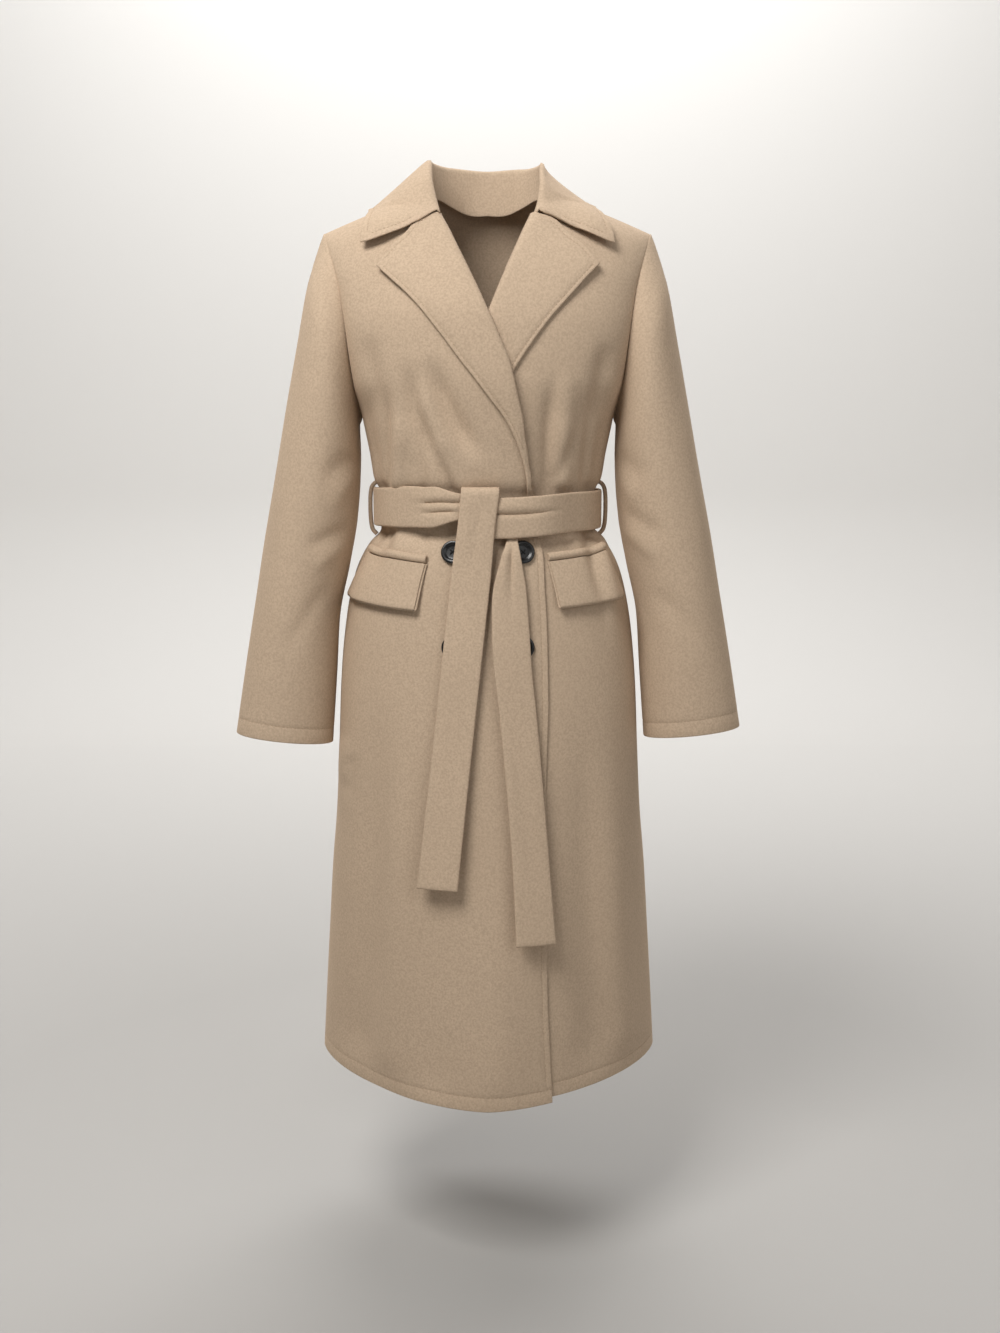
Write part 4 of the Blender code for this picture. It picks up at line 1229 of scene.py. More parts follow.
@dataclass
class BackPanel:
    """Back panel, with its neckline cut out at the top."""

    step: float = 0.0052
    hem_inset: float = 0.0175
    probes: int = 121

    def place(self, u: Array, v: Array) -> Array:
        """Points of the inner face.

        Args:
            u: Places across, from 0 to 1.
            v: Places along, from 0 to 1.

        Returns:
            One point for each place.
        """
        s = 2.0 * u - 1.0
        return BODY.point(Side.BACK, s, v * BODY.back_top(s))

    def build(self) -> None:
        """Make the panel."""
        seams = (Seam(Border.FOOT, self.hem_inset, *HEM_GROOVE),)
        cloth = Cloth("back_cloth", self.place, (self.step, self.step), lift=0.5 * WALL, seams=seams)
        cloth.probes = self.probes
        cloth.flip = True
        sew(cloth, "back")


@dataclass(frozen=True)
class SleeveRing:
    """A ring of the left sleeve: outer and inner point seen from the front, middle and half depth."""

    x_out: float
    z_out: float
    x_in: float
    z_in: float
    y_mid: float
    depth: float


SLEEVE_RINGS = (
    SleeveRing(0.2130, -0.085, 0.1610, -0.264, 0.000, 0.0730),
    SleeveRing(0.2300, -0.165, 0.1600, -0.296, -0.001, 0.0740),
    SleeveRing(0.2450, -0.243, 0.1610, -0.330, -0.003, 0.0710),
    SleeveRing(0.2610, -0.329, 0.1650, -0.378, -0.006, 0.0670),
    SleeveRing(0.2750, -0.403, 0.1750, -0.436, -0.009, 0.0630),
    SleeveRing(0.2875, -0.479, 0.1885, -0.505, -0.013, 0.0585),
    SleeveRing(0.3005, -0.556, 0.1930, -0.577, -0.017, 0.0540),
    SleeveRing(0.3165, -0.654, 0.1995, -0.667, -0.022, 0.0490),
)

# Creases of the sleeves: round the sleeve from the middle of its front (+ is towards the body), and down.
SLEEVE_CREASES = {
    Hand.RIGHT: (
        Crease((0.085, 0.170), (0.010, 0.300), -0.0032, 0.0120, 0.006),
        Crease((0.095, 0.200), (0.030, 0.330), 0.0026, 0.0110, 0.006),
        Crease((0.080, 0.330), (0.000, 0.400), -0.0026, 0.0100, 0.005),
        Crease((0.085, 0.360), (0.015, 0.425), 0.0024, 0.0100, 0.005),
        Crease((-0.070, 0.150), (-0.050, 0.420), 0.0024, 0.0200, 0.004),
        Crease((0.060, 0.420), (-0.010, 0.560), -0.0022, 0.0130, 0.004),
        Crease((0.210, 0.330), (0.130, 0.400), -0.0026, 0.0110),
        Crease((-0.200, 0.240), (-0.130, 0.380), -0.0026, 0.0130),
    ),
    Hand.LEFT: (
        Crease((0.085, 0.150), (0.015, 0.290), -0.0030, 0.0120, -0.005),
        Crease((0.095, 0.185), (0.035, 0.315), 0.0026, 0.0110, -0.005),
        Crease((0.085, 0.300), (0.005, 0.385), -0.0028, 0.0100, 0.005),
        Crease((0.090, 0.335), (0.020, 0.415), 0.0026, 0.0100, 0.005),
        Crease((-0.060, 0.170), (-0.055, 0.460), 0.0022, 0.0200, -0.004),
        Crease((0.050, 0.440), (-0.020, 0.545), -0.0022, 0.0120, 0.004),
        Crease((0.205, 0.310), (0.125, 0.390), -0.0026, 0.0110),
        Crease((-0.195, 0.260), (-0.125, 0.400), -0.0026, 0.0130),
    ),
}


@dataclass
class Sleeve:
    """Set-in sleeve, a tube from the armhole to an open cuff."""

    hand: Hand
    step: float = 0.0048
    gap_top: float = 0.0014
    gap_under: float = 0.0050
    underarm: int = 15
    girth: float = 0.42
    length: float = 0.64
    cuff_inset: float = 0.019
    tuck: float = 0.0045
    tuck_in: float = 0.0022
    tuck_reach: float = 0.011
    cuff_tilt: float = 0.0040
    cuff_reach: float = 0.30
    samples: int = 200

    @property
    def cuff_rise(self) -> float:
        """How much higher the worn sleeve ends than it is cut."""
        return 0.0100 if self.hand is Hand.RIGHT else 0.0170

    def armhole(self, t: Array) -> Array:
        """Armhole loop of the left side.

        Args:
            t: Places from 0 to 1, from the shoulder down the front and up the back.

        Returns:
            One point for each place.
        """
        fine = np.linspace(BODY.top, self.underarm, self.samples)
        behind = BODY.point(Side.BACK, 1.0, fine[::-1])[1:]
        loop = np.concatenate([BODY.point(Side.FRONT, 1.0, fine), behind])
        run = lengths(loop)
        half = run[len(fine) - 1]
        want = np.where(t < 0.5, 2.0 * t * half, half + (2.0 * t - 1.0) * (run[-1] - half))
        return read_line(want, run, loop)

    def place(self, u: Array, v: Array) -> Array:
        """Points of the inner face.

        Args:
            u: Places across, from 0 to 1.
            v: Places along, from 0 to 1.

        Returns:
            One point for each place.
        """
        turn = 2.0 * math.pi * u
        start = self.armhole(u % 1.0)
        start[:, 0] += self.gap_top + (self.gap_under - self.gap_top) * np.sin(0.5 * turn)
        rings = [start]
        for ring in SLEEVE_RINGS:
            x = 0.5 * (ring.x_out + ring.x_in) + 0.5 * (ring.x_out - ring.x_in) * np.cos(turn)
            y = ring.y_mid - ring.depth * np.sin(turn)
            z = 0.5 * (ring.z_out + ring.z_in) + 0.5 * (ring.z_out - ring.z_in) * np.cos(turn)
            rings.append(np.stack([x, y, z], axis=-1))
        rings = np.stack(rings)
        knots = np.arange(len(rings))
        point = np.stack([curve(knots, rings[..., k], v * knots[-1]) for k in range(3)], axis=-1)
        round_it = ((u + 0.25) % 1.0 - 0.5) * self.girth
        lift = np.zeros(len(u))
        for crease in SLEEVE_CREASES[self.hand]:
            lift = lift + crease.height(round_it, v * self.length)
        level = v * knots[-1]
        wide = np.interp(level, knots[1:], [ring.x_out - ring.x_in for ring in SLEEVE_RINGS])
        tall = np.interp(level, knots[1:], [ring.z_out - ring.z_in for ring in SLEEVE_RINGS])
        away = unit(np.stack([wide, np.zeros(len(u)), tall], axis=-1)) * np.cos(turn)[:, None]
        away[:, 1] = -np.sin(turn)
        point = point + away * lift[:, None]
        ahead = unit(rings[0] - rings[1]) * self.tuck + unit(rings[0].mean(axis=0) - rings[0]) * self.tuck_in
        point = point + ahead * (1.0 - smooth(v, 0.0, self.tuck_reach))[:, None]
        point[:, 2] += (self.cuff_rise + self.cuff_tilt * np.sin(turn)) * smooth(v, self.cuff_reach, 1.0)
        point[:, 0] *= self.hand.value
        return point

    def build(self) -> None:
        """Make the sleeve."""
        node = "sleeve_" + self.hand.word
        seams = (Seam(Border.HEAD, self.cuff_inset, *HEM_GROOVE),)
        cloth = Cloth(node + "_cloth", self.place, (self.step, self.step), lift=0.5 * WALL, seams=seams)
        cloth.ring = True
        cloth.capped = True
        cloth.flip = self.hand is Hand.RIGHT
        sew(cloth, node)


@dataclass
class Lapel:
    """Turned-back lapel: rolls over at the front's edge and lies on the front."""

    hand: Hand
    step: float = 0.0034
    roll: float = 0.0021
    gap: float = 0.0015
    roll_share: float = 0.12
    mid_share: float = 0.4
    ahead: float = 0.05
    swell: float = 0.0020
    inset: float = 0.0048
    top_inset: float = 0.0070
    edge_span: tuple[float, float] = (0.03, 0.80)
    top_span: tuple[float, float] = (0.30, 0.91)
    notch: float = 0.0068
    notch_at: float = 0.56
    notch_width: float = 0.15
    notch_reach: float = 0.16
    corner_lift: float = 0.0045
    corner_from: float = 0.4
    corner_reach: float = 0.35
    set_reach: float = 0.15

    @property
    def rows(self) -> tuple[LapelRow, ...]:
        """The lapel's own table."""
        return LAPEL_OVER if self.hand is Hand.RIGHT else LAPEL_UNDER

    def place(self, u: Array, v: Array) -> Array:
        """Points of the wall's middle.

        Args:
            u: Places across, from 0 to 1.
            v: Places along, from 0 to 1.

        Returns:
            One point for each place.
        """
        phi = math.pi * np.clip(u / self.roll_share, 0.0, 1.0)
        q = np.clip((u - self.roll_share) / (1.0 - self.roll_share), 0.0, 1.0)
        knots, edge_s = BODY.inner_edge(self.hand)
        ends = knots[-2 : -2 - len(self.rows) : -1]
        roll_w = np.interp(v, np.linspace(0.0, 1.0, len(self.rows)), ends)
        roll = BODY.shell(Side.FRONT, curve(knots, edge_s, roll_w), roll_w)[:, [0, 2]]
        mid, edge = (
            np.stack([read_table(self.rows, line + axis, v) for axis in ("_x", "_z")], axis=-1)
            for line in ("mid", "edge")
        )
        stations = np.stack([roll, mid, edge])

        def across(share: Array) -> Array:
            """Places seen from the front, at a share of the way over the leaf."""
            marks = (0.0, self.mid_share, 1.0)
            return np.stack([curve(marks, stations[..., k], share) for k in range(2)], axis=-1)

        here = across(q)
        notched = np.exp(-(((q - self.notch_at) / self.notch_width) ** 2))
        here[:, 1] -= self.notch * notched * (1.0 - smooth(v, 0.0, self.notch_reach))
        s, w = BODY.on_front(here[:, 0], here[:, 1])
        forward = across(np.full(len(u), self.ahead))
        s_ahead, w_ahead = BODY.on_front(forward[:, 0], forward[:, 1])
        s_roll, w_roll = BODY.on_front(roll[:, 0], roll[:, 1])
        inward = unit(BODY.front(self.hand, s_roll, w_roll) - BODY.front(self.hand, s_ahead, w_ahead))
        normal = BODY.outward(Side.FRONT, s, w)
        off = self.roll * (1.0 - np.cos(phi))
        corner = smooth(q, self.corner_from, 1.0) * (1.0 - smooth(v, 0.0, self.corner_reach))
        off = off + self.corner_lift * corner
        if self.hand is Hand.RIGHT:
            off = off + self.swell * np.sin(math.pi * q) * np.sqrt(np.sin(math.pi * v))
        point = BODY.front(self.hand, s, w, 0.5 * WALL) + normal * off[:, None]
        set_in = (self.gap + self.roll * np.sin(phi)) * (1.0 - smooth(q, 0.0, self.set_reach))
        return point + inward * set_in[:, None]

    def build(self) -> None:
        """Make the lapel."""
        node = "lapel_" + self.hand.word
        seams = (
            Seam(Border.END, self.inset, *LAPEL_GROOVE, *self.edge_span),
            Seam(Border.FOOT, self.top_inset, *LAPEL_GROOVE, *self.top_span),
        )
        cloth = Cloth(node + "_cloth", self.place, (self.step, self.step), seams=seams)
        cloth.flip = self.hand is Hand.LEFT
        sew(cloth, node)


@dataclass(frozen=True)
class CollarRow:
    """The left half of the collar at a share t of its way from the back's middle to its front end."""

    t: float
    fold: tuple[float, float, float]
    edge: tuple[float, float, float]
    out: tuple[float, float, float]
    bulge: float


COLLAR_ROWS = (
    CollarRow(0.00, (0.0000, 0.0640, 0.0465), (0.0000, 0.0980, -0.0300), (0.00, 1.00, 0.00), 0.0030),
    CollarRow(0.30, (0.0450, 0.0500, 0.0485), (0.0760, 0.0850, -0.0210), (0.60, 0.80, 0.00), 0.0030),
    CollarRow(0.58, (0.0670, 0.0040, 0.0485), (0.1310, 0.0160, -0.0010), (1.00, 0.00, 0.00), 0.0010),
    CollarRow(0.80, (0.0660, -0.0300, 0.0270), (0.1400, -0.0220, -0.0120), (0.85, -0.35, 0.35), 0.0030),
    CollarRow(1.00, (0.0555, -0.0615, -0.0130), (0.1430, -0.0600, -0.0485), (0.25, -0.70, 0.67), 0.0050),
)

# How far the collar's front ends are drawn down: share of the way from neck seam to edge, and the drop.
NOTCH_DROP = (
    (0.00, 0.0), (0.32, 0.0), (0.40, 0.0050), (0.50, 0.0135),
    (0.60, 0.0180), (0.75, 0.0190), (0.90, 0.0152), (1.00, 0.0098),
)


@dataclass
class Collar:
    """Stand and fall in one hairpin of cloth round the neck."""

    step: float = 0.0036
    roll: float = 0.0026
    seam_rise: float = -0.0045
    seam_in: float = 0.0009
    reach: float = 0.945
    rest: float = 0.0043
    end_rest: float = 0.0042
    tip_rest: float = 0.0045
    end_from: tuple[float, float] = (0.72, 0.95)
    tip_from: tuple[float, float] = (0.35, 0.75)
    rest_reach: float = 0.006
    stand_share: float = 0.22
    bend_share: float = 0.32
    left_fold: tuple[float, float, float] = (0.004, 0.0, 0.003)
    left_edge: tuple[float, float, float] = (0.012, 0.0, -0.002)
    left_hollow: float = 0.0055
    left_from: tuple[float, float] = (0.1, 0.5)
    left_to: tuple[float, float] = (0.75, 1.0)
    left_drop: float = 0.0048
    left_drop_at: tuple[float, float] = (0.35, 0.06)
    left_drop_from: tuple[float, float] = (0.86, 1.0)
    gorge_drop: float = 0.0065
    gorge_from: tuple[float, float] = (0.80, 1.0)
    gorge_fall: tuple[float, float] = (0.10, 0.36)
    notch_from: tuple[float, float] = (0.74, 1.0)
    inset: float = 0.0085
    edge_span: tuple[float, float] = (0.02, 0.98)
    end_span: tuple[float, float] = (0.50, 0.91)
    samples: int = 60
    probes: int = 201

    def column(self, name: str, axis: int | None, t: Array) -> Array:
        """One number of the table, mirrored for the right half.

        Args:
            name: The column.
            axis: Which of its three numbers, where it has three.
            t: Places round the neck, from -1 to 1.

        Returns:
            One number for each place.
        """
        rows = list(reversed(COLLAR_ROWS[1:])) + list(COLLAR_ROWS)
        signs = [-1.0] * (len(COLLAR_ROWS) - 1) + [1.0] * len(COLLAR_ROWS)
        values = [getattr(row, name) if axis is None else getattr(row, name)[axis] for row in rows]
        if axis == 0:
            values = [sign * value for sign, value in zip(signs, values)]
        return curve([sign * row.t for sign, row in zip(signs, rows)], values, t)

    def vector(self, name: str, t: Array) -> Array:
        """One point or direction of the table at t."""
        return np.stack([self.column(name, axis, t) for axis in range(3)], axis=-1)

    def neck_seam(self, hand: Hand) -> Array:
        """Half of the neck seam.

        Args:
            hand: Which half.

        Returns:
            Points from the middle of the back round to the top of the roll line.
        """
        s = np.linspace(0.0, BODY.neck_share(), self.samples)
        behind = BODY.point(Side.BACK, hand.value * s, BODY.back_top(s), -self.seam_in)
        knots, edge = BODY.inner_edge(hand)
        w = np.linspace(BODY.top, knots[-2], self.samples)
        return np.concatenate([behind, BODY.front(hand, curve(knots, edge, w), w, -self.seam_in)[1:]])

    def resting(self, point: Array, rest: Array, hand: Hand) -> Array:
        """Move points out where they would lie too close to the front below them.

        Args:
            point: The points.
            rest: How far off the front each has to lie.
            hand: Which front.

        Returns:
            The points where they may stay.
        """
        s, w = BODY.on_front(point[:, 0], point[:, 2])
        under = BODY.front(hand, s, w)
        normal = BODY.outward(Side.FRONT, s, w)
        found = np.hypot(under[:, 0] - point[:, 0], under[:, 2] - point[:, 2]) < self.rest_reach
        height = np.einsum("ij,ij->i", point - under, normal)
        short = np.where(found & (point[:, 1] < 0.0), np.maximum(rest - height, 0.0), 0.0)
        return point + normal * short[:, None]

    def sewn_edge(self, t: Array) -> Array:
        """Points of the neck seam.

        Args:
            t: Places round the neck, from -1 to 1.

        Returns:
            One point for each place.
        """
        seam = np.empty((len(t), 3))
        for hand, mine in ((Hand.RIGHT, t <= 0.0), (Hand.LEFT, t > 0.0)):
            half = self.neck_seam(hand)
            run = lengths(half)
            seam[mine] = read_line(np.abs(t[mine]) * self.reach * run[-1], run, half)
        return seam

    def drop(self, t: Array, v: Array, fall: Array) -> Array:
        """How far the front ends are drawn down.

        Args:
            t: Places round the neck, from -1 to 1.
            v: Places across the collar.
            fall: Places across the part that falls over, from 0 to 1.

        Returns:
            One drop for each place.
        """
        gorge = smooth(np.abs(t), *self.gorge_from) * (1.0 - smooth(fall, *self.gorge_fall))
        gorge = self.gorge_drop * gorge * smooth(v, 0.0, self.stand_share)
        notch = curve(*zip(*NOTCH_DROP), v) * smooth(np.abs(t), *self.notch_from)
        middle, width = self.left_drop_at
        left = self.left_drop * np.exp(-(((v - middle) / width) ** 2)) * smooth(t, *self.left_drop_from)
        return gorge + notch + left

    def place(self, u: Array, v: Array) -> Array:
        """Points of the wall's middle.

        Args:
            u: Places across, from 0 to 1.
            v: Places along, from 0 to 1.

        Returns:
            One point for each place.
        """
        t = 2.0 * u - 1.0
        seam = self.sewn_edge(t)
        left = (smooth(t, *self.left_from) * (1.0 - smooth(t, *self.left_to)))[:, None]
        fold = self.vector("fold", t) - left * np.array(self.left_fold)
        edge = self.vector("edge", t) - left * np.array(self.left_edge)
        seam = seam + unit(fold - seam) * self.seam_rise
        up = unit(fold - seam)
        out = unit(self.vector("out", t))
        out = unit(out - up * np.einsum("ij,ij->i", out, up)[:, None])
        stand = np.minimum(v / self.stand_share, 1.0)[:, None]
        over = np.clip((v - self.stand_share) / (self.bend_share - self.stand_share), 0.0, 1.0)
        fall = np.clip((v - self.bend_share) / (1.0 - self.bend_share), 0.0, 1.0)
        centre = fold + out * self.roll
        leaf = edge - centre
        down = np.arctan2(-np.einsum("ij,ij->i", leaf, up), np.einsum("ij,ij->i", leaf, out))
        phi = math.pi - over * (0.5 * math.pi + down)
        radial = out * np.cos(phi)[:, None] + up * np.sin(phi)[:, None]
        bend = centre + radial * self.roll
        swell = self.column("bulge", None, t) - self.left_hollow * left[:, 0]
        swell = swell * np.sin(math.pi * np.sqrt(fall))
        point = np.where(stand < 1.0, seam + (fold - seam) * stand, bend)
        point = point + (edge - bend) * fall[:, None] + radial * swell[:, None]
        point[:, 2] -= self.drop(t, v, fall)
        for hand in Hand:
            mine = (fall > 0.0) & (t * hand.value > 0.0)
            if mine.any():
                end = smooth(np.abs(t[mine]), *self.end_from)
                tip = self.tip_rest * smooth(fall[mine], *self.tip_from)
                rest = self.rest + end * (self.end_rest + tip)
                point[mine] = self.resting(point[mine], rest, hand)
        return point

    def build(self) -> None:
        """Make the collar."""
        spans = {Border.HEAD: self.edge_span, Border.START: self.end_span, Border.END: self.end_span}
        seams = tuple(Seam(border, self.inset, *HEM_GROOVE, *span) for border, span in spans.items())
        cloth = Cloth("collar_cloth", self.place, (self.step, self.step), seams=seams, probes=self.probes)
        sew(cloth, "collar")


@dataclass
class Pocket:
    """Pocket flap, doubled over at its lower edge, with the folded strip above it."""

    hand: Hand
    top: float = -0.4222
    bottom: float = -0.4770
    in_top: float = 0.0710
    in_bottom: float = 0.0830
    spread: float = 0.03
    gap: float = 0.0013
    lift: float = 0.0052
    curl: float = 1.5
    leaf_wall: float = 0.0013
    leaf_gap: float = 0.0005
    peek: float = 0.016
    strip_top: float = -0.4130
    strip_bottom: float = -0.4215
    bulge: float = 0.0028
    turn_span: tuple[float, float] = (0.47, 0.53)
    step: float = 0.0034
    strip_step: float = 0.0009
    probes: int = 241

    @property
    def outer(self) -> float:
        """Place s where the pocket ends towards the side."""
        return -0.85 if self.hand is Hand.RIGHT else 0.78

    @property
    def tilt(self) -> tuple[float, float]:
        """How far the inner end is moved up and how much further the outer one."""
        return (-0.002, 0.009) if self.hand is Hand.RIGHT else (0.001, 0.0075)

    def on_body(self, u: Array, z: Array, out: Array) -> Array:
        """Points on the front under the pocket.

        Args:
            u: Shares of the pocket's width, from its inner end.
            z: Heights.
            out: Distances off the front.

        Returns:
            One point for each place.
        """
        ends = [self.hand.value * self.in_top, self.hand.value * self.in_bottom]
        inner_s, _ = BODY.on_front(ends, [self.top, self.bottom])
        down = np.maximum((self.top - z) / (self.top - self.bottom), 0.0)
        inner = inner_s[0] + (inner_s[1] - inner_s[0]) * down
        outer = self.outer + self.hand.value * self.spread * down
        inner_rise, rise = self.tilt
        w = curve([row.z_mid for row in SECTIONS], range(len(SECTIONS)), z + inner_rise + rise * u)
        away = WALL + self.gap + self.lift * down**self.curl + out
        return BODY.front(self.hand, inner + (outer - inner) * u, w, away)

    def hairpin(self, v: Array, top: float, bottom: float) -> tuple[Array, Array]:
        """Path of a strip doubled over at its lower edge, from its front top down and up behind.

        Args:
            v: Places along the path, from 0 to 1.
            top: Height of the strip's top.
            bottom: Height of its lower edge.

        Returns:
            Heights and distances out.
        """
        radius = 0.5 * (self.leaf_wall + self.leaf_gap)
        leg = top - bottom - radius - 0.5 * self.leaf_wall
        run = v * (2.0 * leg + math.pi * radius)
        turn = np.clip((run - leg) / radius, 0.0, math.pi)
        z = top - np.minimum(run, leg) - radius * np.sin(turn) + np.maximum(run - leg - math.pi * radius, 0.0)
        return z, 0.5 * self.leaf_wall + radius * (1.0 + np.cos(turn))

    def flap(self, u: Array, v: Array) -> Array:
        """Points of the flap's wall at (u, v)."""
        z, out = self.hairpin(v, self.top, self.bottom)
        return self.on_body(u - self.peek * smooth(v, *self.turn_span), z, out)

    def strip(self, u: Array, v: Array) -> Array:
        """Points of the strip's wall at (u, v), swollen in the middle of its front."""
        z, out = self.hairpin(v, self.strip_top, self.strip_bottom)
        share = np.clip((self.strip_top - z) / (self.strip_top - self.strip_bottom), 0.0, 1.0)
        return self.on_body(u, z, out + self.bulge * np.sin(math.pi * share) * (v < 0.5))

    def build(self) -> None:
        """Make flap and strip."""
        for kind, place, step in (("flap", self.flap, self.step), ("welt", self.strip, self.strip_step)):
            node = f"pocket_{kind}_{self.hand.word}"
            cloth = Cloth(node + "_cloth", place, (self.step, step), wall=self.leaf_wall, probes=self.probes)
            cloth.flip = self.hand is Hand.LEFT
            sew(cloth, node)


# Creases of the belt near its knot, in x and height above the belt's middle.
BELT_CREASES = (
    Crease((-0.076, 0.0055), (-0.028, 0.0036), -0.0040, 0.0026, 0.0, 0.5, 0.05),
    Crease((-0.080, -0.0068), (-0.032, -0.0036), -0.0026, 0.0034, 0.0, 0.6, 0.1),
    Crease((-0.074, -0.0004), (-0.028, 0.0002), 0.0016, 0.0030, 0.0, 0.5, 0.05),
    Crease((-0.092, 0.0130), (-0.028, 0.0090), 0.0016, 0.0048, 0.0, 0.6, 0.1),
    Crease((0.004, 0.0054), (0.084, 0.0048), -0.0036, 0.0028, -0.001, 0.05, 0.6),
    Crease((0.006, 0.0130), (0.076, 0.0125), 0.0014, 0.0056, 0.0, 0.1, 0.7),
)


@dataclass
class BeltBand:
    """Belt stretch round the waist; its two ends meet behind the hanging end."""

    step: tuple[float, float] = (0.0036, 0.0019)
    wall: float = 0.0036
    height: float = 0.047
    row: int = 11
    off: float = 0.0084
    off_front: float = 0.0052
    off_front_from: tuple[float, float] = (-0.150, -0.080)
    off_front_to: tuple[float, float] = (0.060, 0.130)
    off_knot: float = 0.0090
    off_knot_from: tuple[float, float] = (-0.095, -0.040)
    off_knot_to: tuple[float, float] = (0.050, 0.100)
    gap_x: float = -0.0100
    gap: float = 0.0010
    knot_reach: tuple[float, float] = (0.015, 0.100)
    knot_left: tuple[float, float] = (0.001, -0.005)
    knot_right: tuple[float, float] = (-0.007, 0.003)
    pinch: float = 0.0075
    pinch_reach: tuple[float, float] = (-0.062, -0.030)
    rise_x: tuple[float, ...] = (-0.150, -0.129, -0.108, -0.083, -0.066, -0.050, -0.030, -0.012)
    rise_top: tuple[float, ...] = (0.0020, 0.0031, 0.0051, 0.0079, 0.0074, 0.0094, 0.0082, 0.0082)
    rise_foot: tuple[float, ...] = (0.0020, 0.0034, 0.0050, 0.0051, 0.0039, 0.0028, 0.0024, 0.0024)
    rise_fade: float = 0.050
    deepest: float = 0.24
    probes: int = 401

    def rise(self, x: Array, y: Array, v: Array) -> Array:
        """How far the right-hand stretch is drawn up towards the knot.

        Args:
            x: Places across.
            y: Depths; the stretch behind is drawn up less and less.
            v: Places from the lower edge to the upper one.

        Returns:
            One rise for each place.
        """
        at = np.where(y < 0.0, x, self.rise_x[0])
        foot = curve(self.rise_x, self.rise_foot, at)
        top = curve(self.rise_x, self.rise_top, at)
        drawn = (foot + (top - foot) * v) * (1.0 - smooth(y, 0.0, self.rise_fade))
        return np.where(x > self.gap_x, 0.0, drawn)

    def offset(self, x: Array, y: Array) -> Array:
        """How far the belt stands off the waist: more in front, most round the knot."""
        front = smooth(x, *self.off_front_from) * (1.0 - smooth(x, *self.off_front_to))
        knot = smooth(x, *self.off_knot_from) * (1.0 - smooth(x, *self.off_knot_to))
        return self.off + np.where(y < 0.0, self.off_front * front + self.off_knot * knot, 0.0)

    def place(self, u: Array, v: Array) -> Array:
        """Points of the inner face.

        Args:
            u: Places across, from 0 to 1.
            v: Places along, from 0 to 1.

        Returns:
            One point for each place.
        """
        ends, _ = BODY.on_front([self.gap_x + self.gap, self.gap_x - self.gap], [BELT_Z, BELT_Z])
        way = ends[0] + u * (4.0 + ends[1] - ends[0])
        behind = (way > 1.0) & (way < 3.0)
        s = np.where(way <= 1.0, way, np.where(behind, 2.0 - way, way - 4.0))
        point, normal = (
            np.where(behind[:, None], read(Side.BACK, s, self.row), read(Side.FRONT, s, self.row))
            for read in (BODY.shell, BODY.outward)
        )
        normal[:, 2] = 0.0
        normal = unit(normal)
        x, y = point[:, 0], point[:, 1]
        near = np.where(y < 0.0, 1.0 - smooth(np.abs(x), *self.knot_reach), 0.0)
        left = x > self.gap_x
        taller, higher = (np.where(left, *pair) * near for pair in zip(self.knot_left, self.knot_right))
        height = self.height + taller
        pinched = np.where((y < 0.0) & ~left, smooth(x, *self.pinch_reach), 0.0)
        up = (v - 0.5) * (height - 2.0 * self.pinch * pinched)
        lift = np.zeros(len(u))
        for crease in BELT_CREASES:
            lift = lift + np.where(y < 0.0, crease.height(x, up), 0.0)
        off = self.offset(x, y)
        point = point + normal * (off + np.maximum(lift, -self.deepest * off))[:, None]
        point[:, 2] = BELT_Z + higher + up + self.rise(x, y, v)
        return point

    def build(self) -> None:
        """Make the belt."""
        cloth = Cloth("belt_band_cloth", self.place, self.step, self.wall, 0.5 * self.wall)
        cloth.probes = self.probes
        sew(cloth, "belt_band")


@dataclass(frozen=True)
class EndRow:
    """Middle and half width of a hanging belt end at one place along it."""

    x: float
    y: float
    z: float
    half: float


END_OVER = (
    EndRow(-0.0090, -0.1133, -0.3720, 0.0225),
    EndRow(-0.0090, -0.1133, -0.3560, 0.0225),
    EndRow(-0.0090, -0.1133, -0.3395, 0.0225),
    EndRow(-0.0090, -0.1150, -0.3353, 0.0225),
    EndRow(-0.0090, -0.1190, -0.3336, 0.0225),
    EndRow(-0.0090, -0.1231, -0.3353, 0.0225),
    EndRow(-0.0092, -0.1248, -0.3395, 0.0225),
    EndRow(-0.0122, -0.1250, -0.3650, 0.0220),
    EndRow(-0.0150, -0.1254, -0.3900, 0.0222),
    EndRow(-0.0178, -0.1262, -0.4150, 0.0230),
    EndRow(-0.0222, -0.1295, -0.4550, 0.0235),
    EndRow(-0.0300, -0.1385, -0.5250, 0.0235),
    EndRow(-0.0383, -0.1455, -0.6000, 0.0235),
    EndRow(-0.0472, -0.1545, -0.6800, 0.0237),
    EndRow(-0.0550, -0.1635, -0.7500, 0.0240),
    EndRow(-0.0612, -0.1705, -0.8040, 0.0245),
)
END_UNDER = (
    EndRow(0.0285, -0.1128, -0.3700, 0.0075),
    EndRow(0.0284, -0.1130, -0.3830, 0.0068),
    EndRow(0.0283, -0.1134, -0.3925, 0.0066),
    EndRow(0.0279, -0.1194, -0.4000, 0.0080),
    EndRow(0.0270, -0.1244, -0.4100, 0.0108),
    EndRow(0.0260, -0.1268, -0.4300, 0.0155),
    EndRow(0.0252, -0.1302, -0.4600, 0.0205),
    EndRow(0.0276, -0.1390, -0.5250, 0.0225),
    EndRow(0.0352, -0.1455, -0.6000, 0.0220),
    EndRow(0.0426, -0.1540, -0.6800, 0.0218),
    EndRow(0.0492, -0.1630, -0.7600, 0.0220),
    EndRow(0.0540, -0.1720, -0.8300, 0.0230),
    EndRow(0.0566, -0.1775, -0.8710, 0.0240),
)

